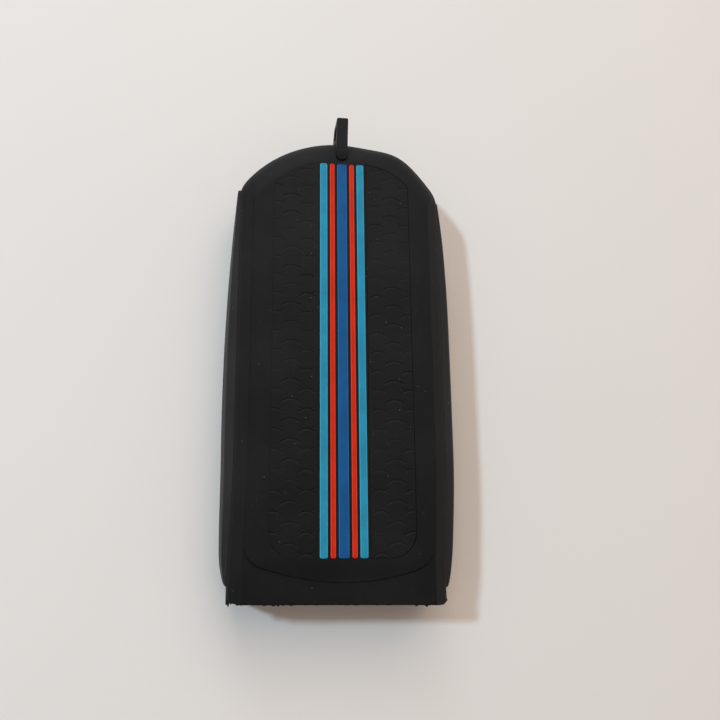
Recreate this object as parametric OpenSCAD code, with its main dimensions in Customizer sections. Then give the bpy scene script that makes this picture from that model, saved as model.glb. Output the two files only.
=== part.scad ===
// Soft sleeve for a key fob: two shells, side grips, ring tab, tread and stripe inlays, four press buttons.
// X runs across, Y from the open mouth to the ring tab, Z from the button face up to the striped back.

/* [Sleeve] */
// Length from the open mouth to the end of the arch
body_l = 92.8; // [88:0.2:104]
// Width across the plain sides, without the grips
shell_w = 41.2; // [39:0.2:43.6]
// Height from the rest rim to the raised back
body_h = 17; // [15.5:0.1:21]
// How much larger the radius of the arch at the ring end is than half the width
arch_over = 3.9; // [2:0.1:8]
// Radius where the arch runs into the sides
corner_r = 6; // [5.5:0.5:8]
// Thickness of the side walls
side_wall = 1.9; // [1.5:0.1:2.3]
// Thickness of the back wall
back_wall = 1.9; // [1.7:0.1:2.4]
// Thickness of the front wall, round the buttons
front_wall = 1.8; // [1.6:0.1:2.4]
// Height of the seam between the two shells
seam_z = 8.5; // [6.5:0.1:10]

/* [Edges] */
// How far the sloped shoulder of the back reaches in
shoulder_w = 2.7; // [1.5:0.1:3.2]
// Height of the sloped shoulder
shoulder_h = 2.1; // [1:0.1:2.6]
// Width of the bevel along the shoulder's lower edge
edge_bevel = 0.5; // [0.2:0.1:0.8]
// Height of the raised back above the shoulder
plateau_h = 0.4; // [0.2:0.1:0.8]
// Ledge between the shoulder and the raised back
plateau_ledge = 0.2; // [0.1:0.05:0.5]
// Distance from the mouth to the raised back
plateau_low_y = 3.8; // [2:0.2:5]
// Radius of the raised back's curved lower edge
plateau_low_r = 43; // [30:1:80]
// Radius of the raised back's lower corners
plateau_corner_r = 4.5; // [3:0.5:6]
// Radius of the front face's outer edge
rim_r = 2.6; // [1.6:0.1:3]
// Bevel along the pocket's long inner corners
pocket_bevel = 1.2; // [0.4:0.1:1.6]

/* [Front face] */
// Width of the flat rim that the cover rests on, inside the rounded edge
rim_w = 1.4; // [0.8:0.1:1.8]
// Depth of the dished face inside the rim
dish_depth = 0.8; // [0.5:0.05:1.2]
// Distance from the mouth to the dished face
dish_low_y = 6.5; // [5:0.5:9]
// Radius of the dish's lower corners
dish_corner_r = 5; // [3:0.5:8]

/* [Side grips] */
// How far a grip stands out from the side at its middle
grip_bulge = 2.4; // [1.8:0.1:3]
// How far a grip stands out at its upper end
grip_end_t = 0.65; // [0.4:0.05:1]
// Distance from the mouth to a grip's lower end
grip_low_y = 3; // [2:0.2:6]
// Share of the rounded corner that a grip's upper end runs on into
grip_over_share = 0.63; // [0:0.05:0.85]
// Distance from the mouth to a grip's thickest point
grip_mid_y = 37; // [30:0.5:45]
// Height of a grip's lower edge
grip_foot_z = 3; // [2.7:0.1:4]
// Height of a grip's upper edge where it meets the side
grip_top_z = 14.2; // [13:0.1:14.4]
// Length of a grip's rounded lower end
grip_end_l = 7; // [4:0.5:12]
// Width of the steep outer facet on a grip
grip_facet_w = 0.75; // [0.4:0.05:1]
// Height of the steep outer facet on a grip
grip_facet_h = 2.2; // [1.4:0.1:3]

/* [Ring tab] */
// Thickness of the ring tab
tab_t = 2.3; // [1.8:0.1:3]
// How far the tab stands out beyond the arch
tab_reach = 4.5; // [4.2:0.1:7]
// How far the tab's root runs in over the back
tab_root = 5.4; // [4.5:0.1:5.6]
// How far the tab stands above the raised back
tab_rise = 0.7; // [0.4:0.1:1.2]
// Height of the tab's end
tab_h = 5.9; // [5.2:0.1:8]
// How deep the tab is set into the shell
tab_seat = 0.8; // [0.4:0.1:1.1]
// Rounding of the tab's two outer corners
tab_corner_r = 1.1; // [0.6:0.1:1.5]
// Diameter of the hole for a split ring or cord
ring_hole_d = 3; // [2:0.1:3.2]
// Material left between the ring hole and the tab's edges
ring_hole_edge = 1.2; // [0.9:0.1:1.6]

/* [Tread panels] */
// Distance from the middle line to a panel's inner edge
panel_in_x = 4.9; // [4.8:0.1:5.4]
// Distance from the middle line to a panel's outer edge
panel_out_x = 13.8; // [12:0.1:15]
// Distance from the mouth to the panels and the stripes
inlay_low_y = 8.1; // [7:0.1:12]
// Distance from the arch's end to the stripes' ends
stripe_margin = 5.7; // [5.6:0.1:8]
// Distance from the arch's edge to the panels' arched edge
panel_margin = 5.1; // [4.8:0.1:8]
// Radius of a panel's lower outer corner
panel_corner_r = 4.8; // [3:0.2:6]
// Depth of the seats for the panels and the stripes
inlay_depth = 0.9; // [0.6:0.05:1.1]
// Gap round a panel in its seat
panel_gap = 0.2; // [0.1:0.05:0.3]
// Distance between tread rows
tread_pitch = 3.77; // [3:0.01:5]
// Width of a tread groove
groove_w = 0.4; // [0.25:0.05:0.6]
// Depth of a tread groove
groove_depth = 0.35; // [0.15:0.05:0.5]
// Half the span of an arched groove in the outer column
outer_arc_w = 2.1; // [1.6:0.1:2.3]
// Half the span of an arched groove in the inner column
inner_arc_w = 1.35; // [1:0.05:1.5]
// Rise of an arched groove
arc_rise = 0.85; // [0.5:0.05:1]
// Length of the short sipe under each outer arch
sipe_l = 1.3; // [0.6:0.1:1.6]

/* [Stripes] */
// Width of the middle stripe
mid_stripe_w = 2; // [1.6:0.1:2.4]
// Width of the thin stripes on each side of it
pin_stripe_w = 1; // [0.7:0.1:1.2]
// Width of the outermost stripes
side_stripe_w = 1.5; // [1.2:0.1:1.6]
// Gap between neighbouring stripes
stripe_gap = 0.5; // [0.4:0.05:0.6]
// How far the stripes stand above the back
stripe_rise = 0.2; // [0.1:0.05:0.4]
// Radius of a stripe's corners
stripe_r = 0.4; // [0.2:0.05:0.45]
// Gap between a stripe and the walls of its seat
stripe_clear = 0.05; // [0.02:0.01:0.1]

/* [Buttons] */
// Distance from the mouth to the lowest button
button_low_y = 27; // [22:0.5:30]
// Distance between buttons
button_pitch = 14; // [13.6:0.1:15]
// Width of a button's pad across the cover
pad_w = 19; // [15:0.5:20]
// Height of a button's pad along the cover
pad_l = 8.5; // [8:0.1:9.2]
// Bevel round the outer edge of a pad
pad_bevel = 0.5; // [0.2:0.05:0.7]
// How far a pad's face stays above the surface that the cover lies on
pad_lift = 0.35; // [0.25:0.05:0.5]
// Thickness of a pad
pad_t = 1.65; // [1.5:0.05:1.9]
// Width of the thin web between a pad and the front wall
web_w = 2; // [1.5:0.1:2.1]
// Thickness of the web
web_t = 0.5; // [0.3:0.05:0.6]
// Distance that a button travels inwards, which also sets how steeply the web climbs to the wall
travel = 0.8; // [0.5:0.05:1]
// Width of the nub that presses the key's own button
nub_w = 9; // [6:0.5:12]
// Height of the nub along the cover
nub_l = 3.6; // [3:0.1:5]
// How far the nub stands in above the pad
nub_h = 1.15; // [0.8:0.05:1.4]

/* [Button signs] */
// Height of a sign along the cover
sign_l = 5.4; // [4.6:0.1:5.8]
// Width of a sign's lines
sign_line = 0.7; // [0.5:0.05:0.8]
// Depth of a sign in its pad
sign_depth = 0.35; // [0.2:0.05:0.5]
// How far a sign stands proud of its pad
sign_rise = 0.1; // [0.05:0.05:0.2]

/* [Hidden] */
$fn = 96;

// Overrun of a cut past the face that it opens
cut = 1;
// Overlap of two shapes that are joined into one
lap = 0.4;

black = [0.055, 0.057, 0.062];
side_black = [0.085, 0.085, 0.09];
light_blue = [0.16, 0.53, 0.66];
dark_blue = [0.10, 0.32, 0.58];
red = [0.80, 0.15, 0.08];
sign_white = [0.86, 0.86, 0.84];

total_l = body_l + tab_reach;
mouth_y = -total_l / 2;
half_w = shell_w / 2;
arch_r = half_w + arch_over;
arch_c_y = body_l - arch_r;
corner_x = half_w - corner_r;
corner_h = sqrt(pow(arch_r - corner_r, 2) - pow(corner_x, 2));
corner_turn = acos(corner_x / (arch_r - corner_r));
side_end_y = arch_c_y + corner_h;
// Flats that round each corner between a side and the arch, and each lower corner of the raised back
corner_flats = 2;
low_flats = 4;
// Sine of the turn between a corner's flats, for which the cosine is a short number too and no slivers arise
flat_sine_share = 0.28;
flat_turn = asin(flat_sine_share);

shoulder_top_z = body_h - plateau_h;
shoulder_z = shoulder_top_z - shoulder_h;
plateau_in = shoulder_w + plateau_ledge;
front_floor_z = dish_depth + front_wall;
back_floor_z = body_h - back_wall;
dish_in = rim_r + rim_w;
// Climb of the shoulder over the width of its bevelled edge
edge_climb = edge_bevel * shoulder_h / shoulder_w;
// Shares of an edge's flats at which the rim's and the shoulder's rounding starts
rim_round_share = 0.5;
shoulder_round_share = 0.3;

inlay_z = body_h - inlay_depth;
stripe_high_y = body_l - stripe_margin;
panel_high_y = body_l - panel_margin;
panel_top_r = arch_r - panel_margin + panel_gap;
// Middle of each stripe and its width, from the left side to the right
pin_x = (mid_stripe_w + pin_stripe_w) / 2 + stripe_gap;
side_x = pin_x + (pin_stripe_w + side_stripe_w) / 2 + stripe_gap;
stripe_places = [[-side_x, side_stripe_w], [-pin_x, pin_stripe_w], [0, mid_stripe_w],
    [pin_x, pin_stripe_w], [side_x, side_stripe_w]];

grip_high_y = side_end_y + corner_r * sin(corner_turn) * grip_over_share;
grip_drop = grip_bulge - grip_end_t;
grip_reach = grip_high_y - grip_mid_y;
// Thickness left at the very end of a grip's rounded lower end
grip_tip_t = 0.15;
// Share of a thin grip's thickness that its outer facet may take
grip_facet_share = 0.5;
// Slope of a grip's top face
grip_top_slope = 0.45;
grip_end_steps = 7;
grip_steps = 14;

tab_top_z = body_h + tab_rise;
tab_foot_z = tab_top_z - tab_h;
hole_r = ring_hole_d / 2;
hole_y = body_l + tab_reach - ring_hole_edge - hole_r;
hole_z = tab_top_z - ring_hole_edge - hole_r;

pad_r = pad_l / 2;
pad_half = pad_w / 2 - pad_r;
pad_top_z = pad_lift + pad_t;
web_out_r = pad_r + web_w;
// Share of a button's travel that its web climbs, so that the web lies flat part of the way in
web_climb_share = 0.7;
web_climb = travel * web_climb_share;
web_in_z = pad_top_z - web_t - web_climb;
nub_r = nub_l / 2;
nub_half = nub_w / 2 - nub_r;
button_names = ["light", "boot", "unlock", "lock"];

// Sizes of the padlock signs as shares of their height, and of their line for the shackle's set-in
lock_w_share = 0.72;
lock_l_share = 0.46;
lock_open_share = 0.2;
lock_inset_share = 0.35;
// Width of the boot sign's car as a share of its height, and its outline as shares of its width and height
car_w_share = 1.7;
car_shares = [[-0.5, -0.28], [0.5, -0.28], [0.5, 0], [0.22, 0.04], [0.04, 0.3], [-0.26, 0.3], [-0.38, 0],
    [-0.5, -0.05]];
lid_x_share = 0.1;
lid_y_share = 0.42;
lid_w_share = 0.34;
lid_angle = 28;
// Sizes of the light sign as shares of its height, and of its line for the pitch of its rays
lamp_r_share = 0.34;
ray_l_share = 0.62;
ray_pitch_share = 1.8;

// Height of one row of a list of buttons, counted from the mouth
function button_y(name) = button_low_y + button_pitch * search([name], button_names)[0];

// Two points that ease a square corner of a profile into three flats
function eased(from_pt, corner_pt, to_pt, share) =
    [from_pt + (corner_pt - from_pt) * share, corner_pt + (to_pt - corner_pt) * (1 - share)];

module from_mouth() {
    translate([0, mouth_y, 0]) children();
}

module black_part() {
    color(black) from_mouth() children();
}

// Half planes that keep inside the flats of a rounded corner, on both sides of the middle
module flats2d(centre, radius, turn, flats) {
    far = body_l * 2;
    intersection_for (side = [0, 1], step = [1:flats])
        mirror([side, 0]) translate(centre) rotate(turn * step)
            polygon([[-far, -far], [radius, -far], [radius, far], [-far, far]]);
}

// Flat outline that keeps one distance inside the sleeve's sides, corners and arch
module arch2d(inset) {
    half = half_w - inset;
    intersection() {
        translate([-half, 0]) square([half * 2, body_l]);
        union() {
            translate([0, arch_c_y]) circle(r = arch_r - inset);
            translate([-arch_r, -cut]) square([arch_r * 2, arch_c_y + cut]);
        }
        flats2d([corner_x, side_end_y], corner_r - inset, flat_turn, corner_flats);
    }
}

// Closed edge profile out of [inset, z] points, where an inset of zero lies reach out from the axis
function edge_points(profile, reach, in_x) = let (last = len(profile) - 1)
    concat([[in_x, profile[0][1]]], [for (p = profile) [reach - p[0], p[1]]], [[in_x, profile[last][1]]]);

// Solid whose edge profile is a list of [inset, z] points, carried along both sides, the corners and the arch
module sleeve_solid(profile, low_y) {
    top = profile[len(profile) - 1][1];
    foot = profile[0][1];
    far = body_l * 2;
    intersection() {
        for (side = [0, 1]) mirror([side, 0, 0]) translate([0, body_l, 0]) rotate([90, 0, 0])
            linear_extrude(body_l - low_y) polygon(edge_points(profile, half_w, 0));
        union() {
            translate([0, arch_c_y, 0]) rotate_extrude() polygon(edge_points(profile, arch_r, 0));
            translate([-arch_r, low_y - cut, foot]) cube([arch_r * 2, arch_c_y - low_y + cut, top - foot]);
        }
        intersection_for (side = [0, 1], step = [1:corner_flats])
            mirror([side, 0, 0]) translate([corner_x, side_end_y, 0]) rotate(flat_turn * step)
                translate([0, far, 0]) rotate([90, 0, 0]) linear_extrude(far * 2)
                    polygon(edge_points(profile, corner_r, -far));
    }
}

// Rounded slot shape along X whose edge profile is a list of [radius, z] points, closed at its middle
module capsule(profile, half) {
    reach = max([for (p = profile) p[0]]) + cut;
    foot = min([for (p = profile) p[1]]);
    height = max([for (p = profile) p[1]]) - foot;
    back_half = [for (i = [len(profile) - 1:-1:0]) [-profile[i][0], profile[i][1]]];
    for (side = [-1, 1]) translate([side * half, 0, 0]) intersection() {
        rotate_extrude() polygon(concat([[0, profile[0][1]]], profile, [[0, profile[len(profile) - 1][1]]]));
        translate([side > 0 ? 0 : -reach, -reach, foot]) cube([reach, reach * 2, height]);
    }
    rotate([90, 0, 90]) linear_extrude(half * 2, center = true) polygon(concat(profile, back_half));
}

// Bar along Y with rounded corners
module bar2d(width, low_y, high_y, radius) {
    translate([-width / 2 + radius, low_y]) square([width - radius * 2, high_y - low_y]);
    translate([-width / 2, low_y + radius]) square([width, high_y - low_y - radius * 2]);
    for (side = [-1, 1], y = [low_y + radius, high_y - radius])
        translate([side * (width / 2 - radius), y]) circle(r = radius, $fn = 32);
}

module front_shell() {
    edge = eased([rim_r, 0], [0, 0], [0, rim_r], rim_round_share);
    black_part() difference() {
        sleeve_solid(concat([[rim_r, 0]], edge, [[0, rim_r], [0, seam_z]]), 0);
        sleeve_solid([[side_wall + pocket_bevel, front_floor_z], [side_wall, front_floor_z + pocket_bevel],
            [side_wall, seam_z + cut]], -cut);
        translate([0, 0, -cut]) linear_extrude(cut + dish_depth) dish2d();
        for (name = button_names) button_place(name)
            capsule([[web_out_r, 0], [web_out_r, front_floor_z + cut]], pad_half);
    }
}

module dish2d() {
    half = half_w - dish_in;
    low_x = half - dish_corner_r;
    low_y = dish_low_y + dish_corner_r;
    intersection() {
        arch2d(dish_in);
        union() {
            translate([-half, low_y]) square([half * 2, body_l - low_y]);
            translate([-low_x, dish_low_y]) square([low_x * 2, body_l - dish_low_y]);
            for (side = [-1, 1]) translate([side * low_x, low_y]) circle(r = dish_corner_r);
        }
    }
}

module back_outer() {
    edge_low = [0, shoulder_z - edge_bevel];
    edge_high = [edge_bevel, shoulder_z + edge_climb];
    edge = eased(edge_low, [0, shoulder_z], edge_high, shoulder_round_share);
    sleeve_solid(concat([[0, seam_z], edge_low], edge, [edge_high, [shoulder_w, shoulder_top_z]]), 0);
    translate([0, 0, shoulder_top_z - lap]) linear_extrude(lap + plateau_h) plateau2d();
}

module plateau2d() {
    low_x = half_w - plateau_in - plateau_corner_r;
    low_reach = plateau_low_r - plateau_corner_r;
    low_centre = [low_x, sqrt(pow(low_reach, 2) - pow(low_x, 2))];
    low_c_y = plateau_low_y + plateau_low_r;
    intersection() {
        arch2d(plateau_in);
        union() {
            translate([0, low_c_y]) circle(r = plateau_low_r);
            translate([-plateau_low_r, low_c_y]) square([plateau_low_r * 2, body_l]);
        }
        translate([0, low_c_y]) mirror([0, 1])
            flats2d(low_centre, plateau_corner_r, acos(low_x / low_reach) / (low_flats + 1), low_flats);
    }
}

module back_shell() {
    slope = shoulder_h / shoulder_w;
    drop = back_wall * sqrt(1 + slope * slope);
    inner_z = shoulder_z - drop + slope * side_wall;
    inner_in = side_wall + (back_floor_z - inner_z) / slope;
    black_part() difference() {
        back_outer();
        sleeve_solid([[side_wall, seam_z - cut], [side_wall, inner_z], [inner_in, back_floor_z]], -cut);
        for (side = [-1, 1]) panel_seat(side);
        for (place = stripe_places) stripe_seat(place);
        tab_solid();
    }
}

// Distance that a grip stands out from the side, at a distance y from the mouth
function grip_t(y) =
    let (share = min(1, (y - grip_low_y) / grip_end_l), round_off = sqrt(1 - pow(1 - share, 2)))
    grip_tip_t + (grip_bulge - grip_drop * pow((y - grip_mid_y) / grip_reach, 2) - grip_tip_t) * round_off;

// Half width of the sleeve at a distance y from the mouth, up to the last flat of the corner
function side_x_at(y) = min([for (step = [0:corner_flats]) let (turn = flat_turn * step)
    corner_x + (corner_r - (y - side_end_y) * sin(turn)) / cos(turn)]);

// Distance from the mouth to the end of one flat of the corner
function flat_end_y(step) = side_end_y + corner_r / cos(flat_turn / 2) * sin(flat_turn * (step * 2 + 1) / 2);

// One cross-section of a grip: inner face, foot bevel, outer face, steep facet and sloped top
function grip_ring(y) =
    let (in_x = side_x_at(y), out_x = half_w + grip_t(y), t = out_x - in_x,
        bevel = min(grip_facet_w, t * grip_facet_share), slope_h = (t - bevel) * grip_top_slope)
    [[in_x, y, grip_foot_z], [out_x - bevel, y, grip_foot_z], [out_x, y, grip_foot_z + bevel],
        [out_x, y, grip_top_z - slope_h - grip_facet_h], [out_x - bevel, y, grip_top_z - slope_h],
        [in_x, y, grip_top_z]];

// Closed solid through a list of cross-sections that have as many points each
module loft(rings) {
    n = len(rings[0]);
    last = len(rings) - 1;
    sides = [for (i = [0:last - 1], k = [0:n - 1]) let (a = i * n + k, b = i * n + (k + 1) % n)
        each [[a, b, b + n], [a, b + n, a + n]]];
    ends = [for (k = [1:n - 2]) each [[0, k + 1, k], [last * n, last * n + k, last * n + k + 1]]];
    polyhedron(points = [for (ring = rings) each ring], faces = concat(sides, ends));
}

module grip(side) {
    low_end = [for (i = [0:grip_end_steps - 1]) grip_low_y + grip_end_l * (1 - cos(90 * i / grip_end_steps))];
    middle_y = grip_low_y + grip_end_l;
    middle_l = min(flat_end_y(0), grip_high_y) - middle_y;
    middle = [for (i = [0:grip_steps - 1]) middle_y + middle_l * i / grip_steps];
    top_end = [for (step = [0:corner_flats - 1]) if (flat_end_y(step) < grip_high_y) flat_end_y(step)];
    color(side_black) from_mouth() mirror([side < 0 ? 1 : 0, 0, 0])
        loft([for (y = concat(low_end, middle, top_end, [grip_high_y])) grip_ring(y)]);
}

module left_grip() {
    grip(-1);
}

module right_grip() {
    grip(1);
}

// Side view of the tab: a root that lies in the back and an end that hangs down in front of the arch
module tab_side2d() {
    end_y = body_l + tab_reach;
    wall_y = body_l - tab_seat;
    seat_z = body_h - tab_seat;
    translate([wall_y, tab_foot_z + tab_corner_r])
        square([end_y - wall_y, tab_h - tab_corner_r * 2]);
    translate([wall_y, tab_foot_z]) square([end_y - wall_y - tab_corner_r, tab_h]);
    translate([end_y - tab_corner_r, tab_top_z - tab_corner_r]) circle(r = tab_corner_r, $fn = 48);
    translate([end_y - tab_corner_r, tab_foot_z + tab_corner_r]) circle(r = tab_corner_r, $fn = 48);
    translate([body_l - tab_root, seat_z]) square([tab_root, tab_top_z - seat_z]);
}

module tab_solid() {
    round_r = tab_t / 2;
    intersection() {
        rotate([90, 0, 90]) linear_extrude(tab_t, center = true) tab_side2d();
        translate([0, 0, tab_foot_z]) linear_extrude(tab_h) {
            translate([-tab_t / 2, body_l - tab_root + round_r]) square([tab_t, tab_root + tab_reach]);
            translate([0, body_l - tab_root + round_r]) circle(r = round_r, $fn = 48);
        }
    }
}

module ring_tab() {
    black_part() difference() {
        tab_solid();
        translate([0, hole_y, hole_z]) rotate([0, 90, 0])
            cylinder(r = hole_r, h = tab_t + cut * 2, center = true);
    }
}

// Flat outline of one tread panel, on the +X side
module panel2d(gap) {
    in_x = panel_in_x + gap;
    out_x = panel_out_x - gap;
    low_y = inlay_low_y + gap;
    corner_c_x = out_x - panel_corner_r;
    intersection() {
        translate([in_x, low_y]) square([out_x - in_x, body_l]);
        union() {
            translate([0, low_y]) square([corner_c_x, body_l]);
            translate([0, low_y + panel_corner_r]) square([out_x, body_l]);
            translate([corner_c_x, low_y + panel_corner_r]) circle(r = panel_corner_r);
        }
        union() {
            translate([0, arch_c_y]) circle(r = panel_top_r - gap);
            square([panel_top_r - gap, arch_c_y]);
        }
    }
}

module panel_seat(side) {
    mirror([side < 0 ? 1 : 0, 0, 0]) translate([0, 0, inlay_z]) linear_extrude(inlay_depth + cut) panel2d(0);
}

// Thin arched groove with its highest point at the origin
module arc2d(half) {
    r = (pow(half, 2) + pow(arc_rise, 2)) / (2 * arc_rise);
    translate([0, -r]) intersection() {
        difference() {
            circle(r = r + groove_w / 2, $fn = 48);
            circle(r = r - groove_w / 2, $fn = 48);
        }
        polygon([[0, 0], [half * 2, (r - arc_rise) * 2], [half * 2, r * 2], [-half * 2, r * 2],
            [-half * 2, (r - arc_rise) * 2]]);
    }
}

module tread_grooves() {
    rows = floor((panel_high_y - inlay_low_y) / tread_pitch);
    inner_x = panel_in_x + panel_gap + groove_w + inner_arc_w;
    outer_x = panel_out_x - panel_gap - groove_w - outer_arc_w;
    for (row = [1:rows]) {
        y = inlay_low_y + row * tread_pitch;
        translate([outer_x, y]) arc2d(outer_arc_w);
        translate([outer_x - groove_w / 2, y - arc_rise - sipe_l]) square([groove_w, sipe_l]);
        translate([inner_x, y + tread_pitch / 2]) arc2d(inner_arc_w);
    }
}

module tread_panel(side) {
    black_part() mirror([side < 0 ? 1 : 0, 0, 0]) translate([0, 0, inlay_z]) {
        linear_extrude(inlay_depth - groove_depth) panel2d(panel_gap);
        translate([0, 0, inlay_depth - groove_depth]) linear_extrude(groove_depth) difference() {
            panel2d(panel_gap);
            tread_grooves();
        }
    }
}

module left_tread_panel() {
    tread_panel(-1);
}

module right_tread_panel() {
    tread_panel(1);
}

module stripe_seat(place) {
    translate([place[0], 0, inlay_z]) linear_extrude(inlay_depth + cut)
        bar2d(place[1] + stripe_clear * 2, inlay_low_y - stripe_clear, stripe_high_y + stripe_clear,
            stripe_r + stripe_clear);
}

module stripe(index, tone) {
    place = stripe_places[index];
    color(tone) from_mouth() translate([place[0], 0, inlay_z]) linear_extrude(inlay_depth + stripe_rise)
        bar2d(place[1], inlay_low_y, stripe_high_y, stripe_r);
}

module left_side_stripe() {
    stripe(0, light_blue);
}

module left_pin_stripe() {
    stripe(1, red);
}

module middle_stripe() {
    stripe(2, dark_blue);
}

module right_pin_stripe() {
    stripe(3, red);
}

module right_side_stripe() {
    stripe(4, light_blue);
}

module button_place(name) {
    translate([0, button_y(name), 0]) children();
}

// Soft pad with the nub behind it that reaches the key's own button
module pad(name) {
    sign_top_z = pad_lift + sign_depth;
    black_part() button_place(name) difference() {
        union() {
            capsule([[pad_r - pad_bevel, pad_lift], [pad_r, pad_lift + pad_bevel], [pad_r, pad_top_z]],
                pad_half);
            capsule([[nub_r, pad_top_z - lap], [nub_r, pad_top_z + nub_h]], nub_half);
        }
        translate([0, 0, pad_lift - cut]) linear_extrude(cut + sign_depth) sign2d(name);
    }
}

// Thin sloping web that carries a pad in its opening and bends when the pad is pressed
module web(name) {
    slope = web_climb / web_w;
    out_z = web_in_z + web_climb;
    wide_r = web_out_r + cut;
    black_part() button_place(name) difference() {
        capsule([[web_out_r, web_in_z], [web_out_r, out_z + web_t], [pad_r, web_in_z + web_t]], pad_half);
        capsule([[wide_r, web_in_z - cut], [wide_r, out_z + slope * cut], [pad_r, web_in_z]], pad_half);
        capsule([[pad_r, web_in_z - cut], [pad_r, pad_top_z + cut]], pad_half);
    }
}

module sign(name) {
    color(sign_white) from_mouth() button_place(name)
        translate([0, 0, pad_lift - sign_rise]) linear_extrude(sign_rise + sign_depth) sign2d(name);
}

module sign2d(name) {
    if (name == "lock") padlock2d(0);
    if (name == "unlock") padlock2d(sign_l * lock_open_share);
    if (name == "boot") boot2d();
    if (name == "light") lamp2d();
}

// Padlock: a block with a shackle, which is lifted on one side when open
module padlock2d(lift) {
    block_w = sign_l * lock_w_share;
    block_l = sign_l * lock_l_share;
    loop_r = block_w / 2 - sign_line * lock_inset_share;
    foot_y = -sign_l / 2;
    top_y = foot_y + block_l;
    leg = sign_l - block_l - loop_r;
    translate([-block_w / 2, foot_y]) square([block_w, block_l]);
    translate([loop_r - sign_line, top_y - sign_line / 2]) square([sign_line, leg + sign_line / 2]);
    translate([-loop_r, top_y + lift - (lift > 0 ? 0 : sign_line / 2)])
        square([sign_line, leg - lift + (lift > 0 ? 0 : sign_line / 2)]);
    translate([0, top_y + leg]) intersection() {
        difference() {
            circle(r = loop_r, $fn = 48);
            circle(r = loop_r - sign_line, $fn = 48);
        }
        translate([-loop_r, 0]) square([loop_r * 2, loop_r]);
    }
}

// Side view of a car's tail with its lid raised
module boot2d() {
    car_w = sign_l * car_w_share;
    polygon([for (p = car_shares) [car_w * p[0], sign_l * p[1]]]);
    translate([car_w * lid_x_share, sign_l * lid_y_share]) rotate(lid_angle)
        square([car_w * lid_w_share, sign_line]);
}

// Lamp with its beam
module lamp2d() {
    lamp_r = sign_l * lamp_r_share;
    ray_l = sign_l * ray_l_share;
    ray_pitch = sign_line * ray_pitch_share;
    intersection() {
        circle(r = lamp_r, $fn = 48);
        translate([0, -lamp_r]) square([lamp_r, lamp_r * 2]);
    }
    for (row = [-1, 0, 1]) translate([-sign_line - ray_l, row * ray_pitch - sign_line / 2])
        square([ray_l, sign_line]);
}

module lock_pad() {
    pad("lock");
}

module lock_web() {
    web("lock");
}

module lock_sign() {
    sign("lock");
}

module unlock_pad() {
    pad("unlock");
}

module unlock_web() {
    web("unlock");
}

module unlock_sign() {
    sign("unlock");
}

module boot_pad() {
    pad("boot");
}

module boot_web() {
    web("boot");
}

module boot_sign() {
    sign("boot");
}

module light_pad() {
    pad("light");
}

module light_web() {
    web("light");
}

module light_sign() {
    sign("light");
}

front_shell();
back_shell();
left_grip();
right_grip();
ring_tab();
left_tread_panel();
right_tread_panel();
left_side_stripe();
left_pin_stripe();
middle_stripe();
right_pin_stripe();
right_side_stripe();
lock_pad();
lock_web();
lock_sign();
unlock_pad();
unlock_web();
unlock_sign();
boot_pad();
boot_web();
boot_sign();
light_pad();
light_web();
light_sign();
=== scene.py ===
"""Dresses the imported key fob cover: a soft black sleeve with side grips, a ring tab, tread relief and stripes.

Lengths are in millimetres, and Y counts from the cover's open mouth, until a mesh is finished in metres.
"""

from __future__ import annotations

import logging
import math
import random
from collections.abc import Callable, Iterable, Mapping
from dataclasses import dataclass, field
from enum import Enum
from typing import TypeVar

import bmesh
import bpy
from bmesh.types import BMEdge, BMesh, BMFace, BMVert
from mathutils import Matrix, Vector

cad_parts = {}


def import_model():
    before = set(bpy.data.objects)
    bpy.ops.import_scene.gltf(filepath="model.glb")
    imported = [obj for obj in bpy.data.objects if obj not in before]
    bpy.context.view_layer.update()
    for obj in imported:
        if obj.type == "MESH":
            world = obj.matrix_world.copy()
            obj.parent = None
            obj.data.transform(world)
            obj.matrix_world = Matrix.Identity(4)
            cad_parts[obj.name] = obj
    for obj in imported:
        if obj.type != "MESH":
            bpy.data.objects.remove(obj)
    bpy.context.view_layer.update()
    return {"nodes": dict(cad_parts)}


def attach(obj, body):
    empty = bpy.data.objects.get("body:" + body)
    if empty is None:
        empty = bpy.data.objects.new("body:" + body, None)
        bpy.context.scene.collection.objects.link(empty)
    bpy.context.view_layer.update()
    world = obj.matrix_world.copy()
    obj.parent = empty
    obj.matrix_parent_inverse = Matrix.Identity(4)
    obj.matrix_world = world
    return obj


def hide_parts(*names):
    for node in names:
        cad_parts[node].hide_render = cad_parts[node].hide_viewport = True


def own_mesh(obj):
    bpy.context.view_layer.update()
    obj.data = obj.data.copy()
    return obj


LOG = logging.getLogger("key_fob_cover")
METRES = 0.001
# Distances that count as none: in a cut, between points to merge, and twice to the level that a test names
TOUCH = 1e-5
WELD = 1e-4
NEAR = 0.01
ABOUT = 0.05
CORNER_STEPS = 7
ARCH_STEPS = 44
Colour = tuple[float, float, float]
Point = tuple[float, float, float]
Span = tuple[float, float]
Part = TypeVar("Part", BMVert, BMEdge, BMFace)


class Carve(Enum):
    """What one solid does to another."""

    CUT = "DIFFERENCE"
    JOIN = "UNION"
    KEEP = "INTERSECT"


class Side(Enum):
    """The two long sides of the cover."""

    LEFT = -1
    RIGHT = 1


class Sign(Enum):
    """The pictograms on the four buttons, from the ring tab down to the mouth."""

    LOCK = "lock"
    UNLOCK = "unlock"
    BOOT = "boot"
    LIGHT = "light"


# ---- Sizes that several pieces share ----


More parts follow.
